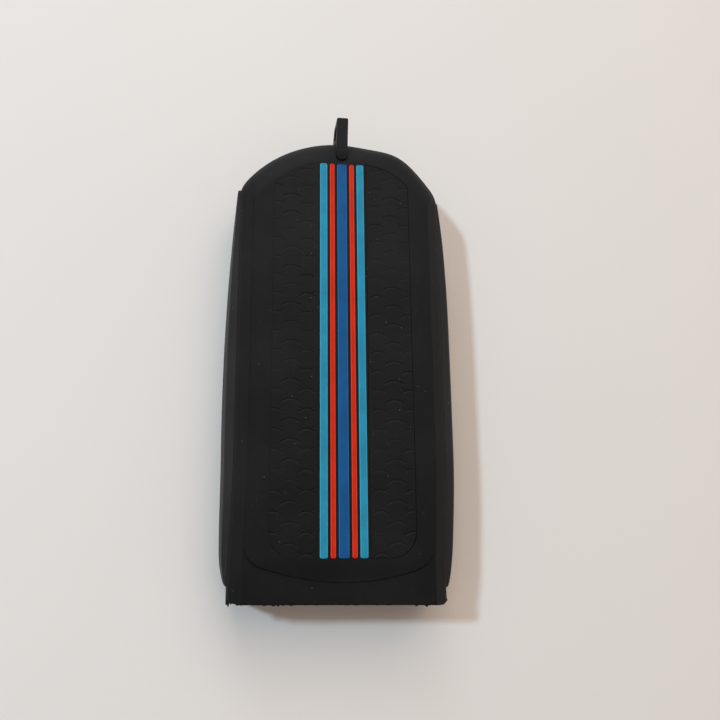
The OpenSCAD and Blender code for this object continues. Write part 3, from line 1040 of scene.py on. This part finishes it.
    def build(self, finishes: Finishes) -> None:
        """Makes the piece.

        Args:
            finishes: The cover's finishes.
        """
        bm = self.rounded_arch(carve(self.outer(), self.plateau(), Carve.JOIN))
        for seat in self.seats:
            bm = carve(bm, seat(self.seat_z, self.seat_top_z), Carve.CUT)
        bm = carve(bm, self.pocket(), Carve.CUT)
        comb(bm, bm.faces, ACROSS, LOOPS_X)
        comb(bm, bm.faces, ALONG, LOOPS_Y)
        Piece("back_shell_skin", "sleeve", "black_silicone", ("back_shell",)).finish(bm, finishes.body)


@dataclass
class FrontShell:
    """The lower moulding: rounded rim, dished face, openings for the buttons and the pocket's floor."""

    button_ys: list[float]
    opening_half: float
    opening_r: float
    rim_r: float = 2.6
    dish_in: float = 4.0
    dish_depth: float = 0.8
    dish_low_y: float = 6.5
    dish_corner_r: float = 5.0
    floor_z: float = 2.6
    pocket_bevel: float = 1.2
    soft_edge: float = 0.16
    room: float = 2.0

    def outer(self) -> BMesh:
        """Models the outside with its rounded rim.

        Returns:
            A closed solid, square at the mouth.
        """
        s = SIZES
        bm = sleeve_outline(0, 0, -s.overrun)
        slab(bm, s.seam_z)
        soften(bm, self.rim_r, 7, 20, lambda p: p.z < NEAR)
        square_mouth(bm)
        return bm

    def dish(self) -> BMesh:
        """Models what the dished face leaves out.

        Returns:
            A closed solid.
        """
        s = SIZES
        half, r = s.half_w - self.dish_in, self.dish_corner_r
        low_y = self.dish_low_y + r
        pen = arched(half, low_y, -self.room)
        pen.arc(-half + r, low_y, 90, 8).line(half - r, self.dish_low_y)
        bm = pen.arc(half - r, low_y, 90, 8).close()
        slab(bm, self.room + self.dish_depth)
        return bm

    def pocket(self) -> BMesh:
        """Models the room that the fob takes in this half.

        Returns:
            A closed solid.
        """
        s = SIZES
        bm = sleeve_outline(s.wall, self.floor_z, -s.overrun)
        slab(bm, s.seam_z - self.floor_z + 1)
        soften(bm, self.pocket_bevel, 3, 20, lambda p: p.z < self.floor_z + NEAR)
        return bm

    def build(self, finishes: Finishes) -> None:
        """Makes the piece.

        Args:
            finishes: The cover's finishes.
        """
        bm = carve(self.outer(), self.pocket(), Carve.CUT)
        bm = carve(bm, self.dish(), Carve.CUT)
        for y in self.button_ys:
            opening = slot_outline(self.opening_half, self.opening_r, y, -1, 18)
            slab(opening, self.floor_z + self.room)
            bm = carve(bm, opening, Carve.CUT)
        comb(bm, bm.faces, ACROSS, LOOPS_X)
        comb(bm, bm.faces, ALONG, LOOPS_Y)
        piece = Piece("front_shell_skin", "sleeve", "black_silicone", ("front_shell",))
        piece.finish(bm, finishes.body, self.soft_edge)


@dataclass
class MouthFlash:
    """The thin ragged skin of rubber that the mould left along the mouth's upper edge."""

    root: float = 0.3
    base: float = 0.05
    ragged: float = 0.36
    spike: float = 0.45
    spike_h: float = 0.45
    torn_xs: tuple[Span, ...] = ((-20.5, -9.0), (12.5, 17.0))
    sound_share: float = 0.2
    inset: float = 0.04
    low_z: float = 9.5
    top_z: float = 16.52
    thickness: float = 0.14
    spacing: float = 0.3
    seed: int = 7

    def reach(self, x: float, z: float, rng: random.Random) -> float:
        """Picks how far the skin stands out at one place.

        Args:
            x: Distance from the middle line.
            z: Height.
            rng: The seeded dice.

        Returns:
            Its reach.
        """
        torn = 1.0 if any(low < x < high for low, high in self.torn_xs) else self.sound_share
        length = self.base + self.ragged * torn * rng.random() ** 3
        if x < 0 and abs(z - SIZES.shoulder_z) < self.spike_h:
            length += self.spike
        return length

    def build(self, finishes: Finishes) -> None:
        """Makes the piece.

        Args:
            finishes: The cover's finishes.
        """
        s = SIZES
        rng = random.Random(self.seed)
        half = s.half_w - self.inset
        bm = bmesh.new()
        last = bm.verts.new((-half, self.root, self.low_z))
        for x, z in (
            (-half, s.shoulder_z),
            (-half + s.shoulder_w, self.top_z),
            (half - s.shoulder_w, self.top_z),
            (half, s.shoulder_z),
            (half, self.low_z),
        ):
            last = grow(bm, last, (x, self.root, z))
        for edge in list(bm.edges):
            bmesh.ops.subdivide_edges(bm, edges=[edge], cuts=max(2, round(edge.calc_length() / self.spacing)))
        spine = sorted(bm.verts, key=lambda v: (round(v.co.x, 3), v.co.z if v.co.x < 0 else -v.co.z))
        lengths = {tuple(v.co.xz): self.reach(v.co.x, v.co.z, rng) for v in spine}
        grown = bmesh.ops.extrude_edge_only(bm, edges=list(bm.edges))
        for vert in only(grown["geom"], BMVert):
            vert.co.y -= self.root + lengths[tuple(vert.co.xz)]
        face_out(bm)
        bmesh.ops.solidify(bm, geom=list(bm.faces), thickness=self.thickness)
        face_out(bm)
        Piece("mouth_flash", "sleeve", "black_silicone", ()).finish(bm, finishes.body)


# ---- Side grips and ring tab ----


@dataclass
class Grip:
    """One slim bar that bulges from a side, thickest in its lower half, with a square step at its top."""

    side: Side
    bulge: float = 2.4
    end_t: float = 0.5
    tip_t: float = 0.15
    fullness: float = 2.0
    low_y: float = 3.0
    high_y: float = 81.2
    mid_y: float = 37.0
    foot_z: float = 3.0
    top_z: float = 14.2
    end_l: float = 7.0
    facet_w: float = 0.75
    facet_h: float = 2.2
    slope: float = 0.45
    buried: float = 0.9
    edge_r: float = 0.3
    step_r: float = 0.16
    end_loops: int = 9
    loops: int = 40
    high_z: float = 9.0
    high_h: float = 2.2
    low_z: float = 5.0
    low_h: float = 1.2
    low_slope: float = 0.2

    def thickness(self, y: float) -> float:
        """How far the grip stands out from the side.

        Args:
            y: Distance from the mouth.

        Returns:
            The thickness there.
        """
        share = clip((y - self.low_y) / self.end_l)
        round_off = math.sqrt(max(0.0, 1 - (1 - share) ** 2))
        away = abs(y - self.mid_y) / (self.high_y - self.mid_y)
        full = self.bulge - (self.bulge - self.end_t) * away**self.fullness
        return self.tip_t + (full - self.tip_t) * round_off

    def build(self, finishes: Finishes) -> None:
        """Makes the piece.

        Args:
            finishes: The cover's finishes.
        """
        wall = SIZES.half_w
        out = wall + self.bulge
        slope_h = (self.bulge - self.facet_w) * self.slope
        pen = Pen(wall - self.buried, self.foot_z).line(out - self.facet_w, self.foot_z)
        pen.line(out, self.foot_z + self.facet_w).line(out, self.top_z - slope_h - self.facet_h)
        pen.line(out - self.facet_w, self.top_z - slope_h).line(wall, self.top_z)
        bm = pen.line(wall - self.buried, self.top_z).close()
        slab(bm, self.high_y - self.low_y)
        swap = Matrix(((1, 0, 0, 0), (0, 0, 1, self.low_y), (0, 1, 0, 0), (0, 0, 0, 1)))
        turn_over(bm, swap)
        soften(bm, self.edge_r, 3, 15, lambda p: self.low_y + 1 < p.y < self.high_y - 1 and p.x > wall + 0.2)
        soften(bm, self.step_r, 2, 40, lambda p: p.y > self.high_y - NEAR and p.x > wall - 0.5)
        self._shape_along(bm)
        to_side(bm, self.side)
        name = self.side.name.lower() + "_grip"
        Piece(name + "_skin", "sleeve", "grip_silicone", (name,), 25).finish(bm, finishes.grip)

    def _shape_along(self, bm: BMesh) -> None:
        """Gives the bar its loops along the cover and thins it towards both ends.

        Args:
            bm: The straight bar on the right side.
        """
        wall = SIZES.half_w
        quarter, straight_y = 90 / self.end_loops, self.low_y + self.end_l
        near = [
            self.low_y + self.end_l * (1 - math.cos(math.radians(quarter * i))) for i in range(1, self.end_loops)
        ]
        far = [straight_y + (self.high_y - self.low_y - self.end_l) * i / self.loops for i in range(self.loops)]
        for y in near + far:
            bmesh.ops.bisect_plane(bm, geom=whole(bm), dist=TOUCH, plane_co=(0, y, 0), plane_no=(0, 1, 0))
        for vert in bm.verts:
            out = vert.co.x - wall
            if out <= 0:
                continue
            share = self.thickness(vert.co.y) / self.bulge
            high = clip((vert.co.z - self.high_z) / self.high_h)
            low = clip((self.low_z - vert.co.z) / self.low_h)
            vert.co.x = wall + out * share
            vert.co.z += out * (1 - share) * (self.slope * high - self.low_slope * low)


@dataclass
class RingTab:
    """The thin upright fin at the arched end, with the hole for a ring."""

    half_t: float = 1.15
    root_y: float = 87.8
    wall_y: float = 92.0
    end_y: float = 97.3
    root_z: float = 16.2
    top_z: float = 17.7
    foot_z: float = 11.8
    corner_r: float = 0.6
    root_round: float = 1.05
    root_drop: float = 0.35
    root_drop_l: float = 2.0
    middle_z: float = 17.0
    root_ys: tuple[float, ...] = (88.9, 89.3, 89.8)
    soft_edge: float = 0.4
    hole_r: float = 1.5
    hole_y: float = 94.6
    hole_z: float = 15.0
    drill_l: float = 6.0

    def build(self, finishes: Finishes) -> None:
        """Makes the piece.

        Args:
            finishes: The cover's finishes.
        """
        r = self.corner_r
        pen = Pen(self.root_y, self.root_z).line(self.wall_y, self.root_z).line(self.wall_y, self.foot_z)
        pen.line(self.end_y - r, self.foot_z).arc(self.end_y - r, self.foot_z + r, 90, 6)
        pen.line(self.end_y, self.top_z - r).arc(self.end_y - r, self.top_z - r, 90, 6)
        bm = pen.line(self.root_y, self.top_z).close()
        slab(bm, self.half_t * 2)
        stand = Matrix(((0, 0, 1, -self.half_t), (1, 0, 0, 0), (0, 1, 0, 0), (0, 0, 0, 1)))
        turn_over(bm, stand)
        soften(bm, self.root_round, 6, 60, lambda p: p.y < self.root_y + NEAR and abs(p.z - self.middle_z) < 0.6)
        drill = bmesh.new()
        lie = Matrix.Translation((0, self.hole_y, self.hole_z)) @ Matrix.Rotation(math.radians(90), 4, "Y")
        radii = {"radius1": self.hole_r, "radius2": self.hole_r}
        bmesh.ops.create_cone(drill, cap_ends=True, segments=48, depth=self.drill_l, matrix=lie, **radii)
        bm = carve(bm, drill, Carve.CUT)
        comb(bm, bm.faces, ALONG, self.root_ys)
        for vert in bm.verts:
            if vert.co.z > self.middle_z:
                drop = 1 - ease(vert.co.y, self.root_y, self.root_y + self.root_drop_l)
                vert.co.z -= self.root_drop * drop
        Piece("ring_tab_skin", "sleeve", "black_silicone", ("ring_tab",), 30).finish(bm, finishes.body, self.soft_edge)


# ---- Inlays on the back ----


@dataclass
class TreadPanel:
    """One relief band: rows of arched grooves in two columns and a half, with short sipes.

    Each column holds its middle, half the span and the rise of its arcs, and its shift as a share of the pitch.
    """

    side: Side
    in_x: float = 4.9
    out_x: float = 13.8
    low_y: float = 8.1
    top_r: float = 19.4
    corner_r: float = 4.8
    gap: float = 0.08
    foot_z: float = 16.1
    top_z: float = 16.99
    pitch: float = 3.83
    first_y: float = 10.84
    columns: tuple[tuple[float, float, float, float], ...] = (
        (7.0, 1.35, 0.5, 0.5),
        (10.1, 1.7, 0.6, 0.0),
        (13.1, 1.35, 0.5, 0.5),
    )
    line_w: float = 0.2
    tilt: float = 0.25
    grid: float = 0.12
    depth: float = 0.1
    arc_fade_w: float = 0.35
    arc_over: float = 0.3
    sipe: Span = (1.1, 2.3)
    sipe_share: float = 0.35
    edge_w: float = 0.5
    edge_share: float = 0.3
    seed: int = 11
    wear_low: float = 0.5
    wear_range: float = 0.7
    wear_count: int = 127
    column_stride: int = 41
    wear: list[float] = field(init=False)

    def __post_init__(self) -> None:
        """Picks how worn each arc is."""
        rng = random.Random(self.seed + self.side.value)
        self.wear = [self.wear_low + self.wear_range * rng.random() for _ in range(self.wear_count)]

    def outline(self, gap: float, low_z: float, high_z: float) -> BMesh:
        """Models the panel's plain block on the right side.

        Args:
            gap: How far inside the seat its walls stand.
            low_z: Its foot.
            high_z: Its top.

        Returns:
            A closed solid.
        """
        in_x, out_x, low_y = self.in_x + gap, self.out_x - gap, self.low_y + gap
        radius = self.top_r - gap
        start, end = math.asin(out_x / radius), math.asin(in_x / radius)
        rise = SIZES.arch_y + radius * math.cos(start)
        pen = Pen(out_x, low_y + self.corner_r, low_z).line(out_x, rise)
        pen.arc(0, SIZES.arch_y, math.degrees(start - end), 10).line(in_x, low_y)
        pen.line(out_x - self.corner_r, low_y)
        bm = pen.arc(out_x - self.corner_r, low_y + self.corner_r, 90, 10).close()
        slab(bm, high_z - low_z)
        return bm

    def seat(self, low_z: float, high_z: float) -> BMesh:
        """Models the seat that the panel lies in.

        Args:
            low_z: Its floor.
            high_z: Its open top.

        Returns:
            A closed solid.
        """
        bm = self.outline(0, low_z, high_z)
        to_side(bm, self.side)
        return bm

    def groove(self, x: float, y: float) -> float:
        """How deep the relief lies at a point of the right panel.

        Args:
            x: Distance from the middle line.
            y: Distance from the mouth.

        Returns:
            A share of the full depth, where 1 is the bottom of a groove.
        """
        deepest = 0.0
        for column, (middle, half, rise, shift) in enumerate(self.columns):
            row = (y - self.first_y) / self.pitch - shift
            worn = self.wear[(column * self.column_stride + math.floor(row)) % len(self.wear)]
            below = (1 - (row - math.floor(row))) * self.pitch
            radius = (half**2 + rise**2) / (2 * rise)
            off = x - middle
            fade = clip((half + self.arc_over - abs(off)) / self.arc_fade_w)
            for drop in (below, below - self.pitch):
                away = abs(math.hypot(off, radius - drop) - radius) / self.line_w
                deepest = max(deepest, (1 - min(1.0, away) ** 2) * fade * worn)
            if abs(off) < self.line_w and self.sipe[0] < below < self.sipe[1] and shift == 0:
                deepest = max(deepest, (1 - (off / self.line_w) ** 2) * self.sipe_share * worn)
            deepest = max(deepest, self.tilt * below / self.pitch * fade)
        return deepest

    def build(self, finishes: Finishes) -> None:
        """Makes the piece.

        Args:
            finishes: The cover's finishes.
        """
        bm = self.outline(self.gap, self.foot_z, self.top_z)
        bm.normal_update()
        for along, low, high in (
            (ACROSS, self.in_x + self.gap, self.out_x - self.gap),
            (ALONG, self.low_y + self.gap, SIZES.arch_y + self.top_r),
        ):
            marks = [low + self.grid * step for step in range(1, int((high - low) / self.grid) + 1)]
            comb(bm, [face for face in bm.faces if face.normal.z > 0.5], along, marks)
        for vert in bm.verts:
            x, y, z = vert.co
            if z > self.top_z - NEAR:
                near_edge = min(x - self.in_x - self.gap, self.out_x - self.gap - x, self.edge_w) / self.edge_w
                vert.co.z -= self.depth * self.groove(x, y) * (self.edge_share + (1 - self.edge_share) * near_edge)
        to_side(bm, self.side)
        name = self.side.name.lower() + "_tread_panel"
        Piece(name + "_skin", "sleeve", "tread_silicone", (name,), 50).finish(bm, finishes.tread)


@dataclass
class Stripe:
    """One coloured bar along the middle of the back, with a raised rounded rim."""

    name: str
    slot: str
    x: float
    width: float
    colour: Colour
    # Colour of the painted highlight along the stripe's rounded rim
    rim: Colour
    low_y: float = 8.1
    high_y: float = 86.9
    radius: float = 0.4
    clear: float = 0.05
    foot_z: float = 16.1
    top_z: float = 17.2
    rim_w: float = 0.2
    sunk: float = 0.05
    sunk_w: float = 0.08
    edge_r: float = 0.14

    def seat(self, low_z: float, high_z: float) -> BMesh:
        """Models the seat that the stripe lies in.

        Args:
            low_z: Its floor.
            high_z: Its open top.

        Returns:
            A closed solid.
        """
        wide = self.width / 2 + self.clear
        bm = bar_outline(self.x, wide, self.low_y - self.clear, self.high_y + self.clear, self.radius, low_z)
        slab(bm, high_z - low_z)
        return bm

    def build(self) -> None:
        """Makes the piece and its finish."""
        bm = bar_outline(self.x, self.width / 2, self.low_y, self.high_y, self.radius, self.foot_z)
        top = slab(bm, self.top_z - self.foot_z)
        step_in(bm, top, self.rim_w, 0)
        step_in(bm, top, self.sunk_w, -self.sunk)
        soften(bm, self.edge_r, 3, 40, lambda p: p.z > self.top_z - NEAR)
        metres = abs(self.x) * METRES, self.width / 2 * METRES
        finish = StripeSilicone(self.slot, self.colour, *metres, self.rim).make()
        Piece(self.name + "_skin", "sleeve", self.slot, (self.name,), 50).finish(bm, finish)


# ---- Buttons ----


@dataclass
class Button:
    """One press button of the front: its pad with the nub, the web that carries it and its pale sign."""

    sign: Sign
    y: float
    pad_r: float = 4.25
    pad_half: float = 5.25
    pad_low_z: float = 0.35
    pad_top_z: float = 2.0
    pad_edge_r: float = 0.55
    nub_r: float = 1.8
    nub_half: float = 2.7
    nub_h: float = 1.15
    nub_sunk: float = 0.4
    nub_edge_r: float = 0.35
    web_out_r: float = 6.25
    web_t: float = 0.5
    web_low_z: float = 0.94
    web_climb: float = 0.56
    travel: float = 0.8

    @property
    def body(self) -> str:
        """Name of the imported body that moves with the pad."""
        return self.sign.value + "_button"

    def pad(self, finishes: Finishes, signs: Mapping[str, bpy.types.Object]) -> None:
        """Makes the pad with its rounded face and nub.

        Args:
            finishes: The cover's finishes.
            signs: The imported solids, by name.
        """
        bm = slot_outline(self.pad_half, self.pad_r, self.y, self.pad_low_z, 20)
        slab(bm, self.pad_top_z - self.pad_low_z)
        soften(bm, self.pad_edge_r, 5, 40, lambda p: p.z < self.pad_low_z + NEAR)
        nub = slot_outline(self.nub_half, self.nub_r, self.y, self.pad_top_z - self.nub_sunk, 14)
        slab(nub, self.nub_h + self.nub_sunk)
        nub_top_z = self.pad_top_z + self.nub_h
        soften(nub, self.nub_edge_r, 3, 40, lambda p: p.z > nub_top_z - NEAR)
        bm = carve(bm, nub, Carve.JOIN)
        name = self.sign.value + "_pad"
        Piece(name + "_skin", self.body, "pad_silicone", (name,), 35).finish(bm, finishes.pad)
        sign = signs[self.sign.value + "_sign"]
        sign.data.materials.clear()
        sign.data.materials.append(finishes.sign)

    def web(self, finishes: Finishes) -> None:
        """Makes the thin web that carries the pad.

        Args:
            finishes: The cover's finishes.
        """
        bm = bmesh.new()
        profile = [
            (self.pad_r - 0.1, self.web_low_z),
            (self.pad_r + 0.4, self.web_low_z + 0.04),
            (self.pad_r + 1.0, self.web_low_z + self.web_climb / 2),
            (self.web_out_r - 0.4, self.web_low_z + self.web_climb - 0.04),
            (self.web_out_r + 0.05, self.web_low_z + self.web_climb),
        ]
        points = profile + [(r, z + self.web_t) for r, z in reversed(profile)]
        first = last = bm.verts.new((self.pad_half, self.y - points[0][0], points[0][1]))
        for radius, z in points[1:]:
            last = grow(bm, last, (self.pad_half, self.y - radius, z))
        bm.edges.new((last, first))
        ring = list(bm.edges)
        for centre, shift in ((self.pad_half, -2 * self.pad_half), (-self.pad_half, 2 * self.pad_half)):
            spun = bmesh.ops.spin(bm, geom=ring, cent=(centre, self.y, 0), axis=(0, 0, 1), angle=math.pi, steps=20)
            grown = bmesh.ops.extrude_edge_only(bm, edges=only(spun["geom_last"], BMEdge))
            bmesh.ops.translate(bm, verts=only(grown["geom"], BMVert), vec=(shift, 0, 0))
            ring = only(grown["geom"], BMEdge)
        bmesh.ops.remove_doubles(bm, verts=list(bm.verts), dist=1e-3)
        face_out(bm)
        name = self.sign.value + "_web"
        obj = Piece(name + "_skin", "sleeve", "pad_silicone", (name,), 45).finish(bm, finishes.pad)
        self.sign.value + "_press"
        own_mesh(obj)

    def build(self, finishes: Finishes, nodes: Mapping[str, bpy.types.Object]) -> None:
        """Makes the button's pieces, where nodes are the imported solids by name."""
        self.pad(finishes, nodes)
        self.web(finishes)


# ---- Table, light and camera ----


@dataclass(frozen=True)
class Lamp:
    """One soft square lamp, in metres and watts, which may be hidden from reflections."""

    name: str
    place: Point
    target: Point
    size: float
    watts: float
    colour: Colour
    mirrored: bool

    def hang(self) -> None:
        """Hangs the lamp and points it at its target."""
        light = bpy.data.lights.new(self.name, "AREA")
        light.shape = "SQUARE"
        light.size = self.size
        light.energy = self.watts
        light.color = self.colour
        obj = linked(self.name, light)
        obj.visible_glossy = self.mirrored
        obj.location = self.place
        obj.rotation_euler = (Vector(self.target) - Vector(self.place)).to_track_quat("-Z", "Y").to_euler()


@dataclass
class Studio:
    """The pale table, the soft room and lamps, and the camera of the photograph, in metres and degrees."""

    eye: Vector = field(default_factory=lambda: Vector((-0.019434, -0.038307, 0.161230)))
    tilt: tuple[float, float, float] = (13.692, -8.718, 1.448)
    lens: float = 38.6
    backdrop: Colour = (0.85, 0.83, 0.82)
    fill: Colour = (0.37, 0.305, 0.265)
    gloss_low: Colour = (0.08, 0.065, 0.06)
    gloss_high: Colour = (1.08, 1.06, 1.07)
    bright_along: Span = (-0.15, 0.5)
    dim_along: Span = (0.45, 0.9)
    along_dimming: float = 0.75
    bright_x: float = 0.1
    dim_across: Span = (0.3, 0.9)
    across_dimming: float = 0.4
    table_half: float = 2.0
    lamps: tuple[Lamp, ...] = (
        Lamp("key", (-0.449, 0.132, 0.66), (0, 0, 0.01), 0.06, 2.8, (0.62, 0.85, 1.0), False),
        Lamp("room_lamp", (0.08, 0.38, 0.78), (0, 0, 0), 0.7, 2.9, (1.0, 0.82, 0.68), False),
        Lamp("window", (-0.1, 0.5, 0.35), (0, 0.03, 0), 0.3, 0.55, (0.8, 0.93, 1.0), True),
    )

    def table(self) -> None:
        """Lays the table under the cover."""
        bm = bmesh.new()
        bmesh.ops.create_grid(bm, x_segments=1, y_segments=1, size=self.table_half)
        mesh = stored("table", bm)
        mesh.materials.append(TableTop().make())
        obj = linked("table", mesh)

    def sky(self) -> None:
        """Sets the soft room light, and the pale room that the camera and reflections see.

        Reflections see it brightest a little beyond the ring tab, and dimmer towards the mouth, the horizon and both
        sides.
        """
        world = bpy.data.worlds.new("room")
        bpy.context.scene.world = world
        g = Graph(world)
        ray = g.node("ShaderNodeLightPath")
        way = g.node("ShaderNodeSeparateXYZ", None, {0: g.node("ShaderNodeTexCoord").outputs["Generated"]})
        across, along = g.value(way, 0), g.value(way, 1)
        level = along.ramp(*self.bright_along) * (1 - along.ramp(*self.dim_along) * self.along_dimming)
        level = level * (1 - abs(across - self.bright_x).ramp(*self.dim_across) * self.across_dimming)
        gloss = g.mix(level, paint(self.gloss_low), paint(self.gloss_high))
        seen = g.maths("MAXIMUM", g.value(ray, "Is Camera Ray"), g.value(ray, "Is Transmission Ray"))
        colour = g.mix(g.value(ray, "Is Glossy Ray"), paint(self.fill), gloss)
        colour = g.mix(seen, colour, paint(self.backdrop))
        room = g.node("ShaderNodeBackground", None, {"Color": colour, "Strength": 1.0})
        g.node("ShaderNodeOutputWorld", None, {"Surface": room.outputs[0]})

    def camera(self) -> None:
        """Puts the camera where the photograph was taken."""
        data = bpy.data.cameras.new("photo_camera")
        data.lens = self.lens
        data.sensor_width = 36.0
        data.clip_start = 0.005
        data.clip_end = 20.0
        obj = linked("photo_camera", data)
        x, y, z = (math.radians(angle) for angle in self.tilt)
        turn = Matrix.Rotation(x, 4, "X") @ Matrix.Rotation(y, 4, "Y") @ Matrix.Rotation(z, 4, "Z")
        obj.matrix_world = Matrix.Translation(self.eye) @ turn
        bpy.context.scene.camera = obj

    def build(self) -> None:
        """Sets up everything that isn't part of the cover."""
        self.camera()
        self.table()
        self.sky()
        for lamp in self.lamps:
            lamp.hang()
        bpy.context.scene.view_settings.view_transform = "Standard"


# ---- The whole cover ----


@dataclass
class Cover:
    """The key fob cover, piece by piece."""

    finishes: Finishes = field(default_factory=Finishes)
    button_low_y: float = 27.0
    button_pitch: float = 14.0

    def stripes(self) -> list[Stripe]:
        """Lists the coloured stripes.

        Returns:
            The five stripes, from left to right.
        """
        light, dark, red = (0.018, 0.28, 0.46), (0.004, 0.092, 0.28), (0.67, 0.018, 0.004)
        # Lighter colours of the painted highlights along the stripes' rounded rims
        light_rim_highlight, dark_rim_highlight, red_rim_highlight = (0.13, 0.5, 0.66), (0.06, 0.22, 0.46), (0.78, 0.13, 0.06)
        return [
            Stripe("left_side_stripe", "light_blue_silicone", -3.75, 1.5, light, light_rim_highlight),
            Stripe("left_pin_stripe", "red_silicone", -2.0, 1.0, red, red_rim_highlight),
            Stripe("middle_stripe", "dark_blue_silicone", 0.0, 2.0, dark, dark_rim_highlight),
            Stripe("right_pin_stripe", "red_silicone", 2.0, 1.0, red, red_rim_highlight),
            Stripe("right_side_stripe", "light_blue_silicone", 3.75, 1.5, light, light_rim_highlight),
        ]

    def buttons(self) -> list[Button]:
        """Lists the four buttons."""
        order = [Sign.LIGHT, Sign.BOOT, Sign.UNLOCK, Sign.LOCK]
        return [Button(sign, self.button_low_y + self.button_pitch * row) for row, sign in enumerate(order)]

    def build(self, nodes: Mapping[str, bpy.types.Object]) -> None:
        """Builds every piece.

        Args:
            nodes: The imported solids, by name.
        """
        panels = [TreadPanel(Side.LEFT, gap=0.03), TreadPanel(Side.RIGHT)]
        stripes = self.stripes()
        buttons = self.buttons()
        BackShell([part.seat for part in (*panels, *stripes)]).build(self.finishes)
        FrontShell([b.y for b in buttons], buttons[0].pad_half, buttons[0].web_out_r).build(self.finishes)
        MouthFlash().build(self.finishes)
        Grip(Side.LEFT).build(self.finishes)
        Grip(Side.RIGHT, end_t=0.12, fullness=4.4, high_y=80.6).build(self.finishes)
        RingTab().build(self.finishes)
        for panel in panels:
            panel.build(self.finishes)
        for stripe in stripes:
            stripe.build()
        for button in buttons:
            button.build(self.finishes, nodes)


def main() -> None:
    """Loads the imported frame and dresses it."""
    logging.basicConfig(level=logging.INFO, format="%(name)s: %(message)s")
    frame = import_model()
    Studio().build()
    Cover().build(frame["nodes"])
    bpy.context.view_layer.update()


if __name__ == "__main__":
    main()
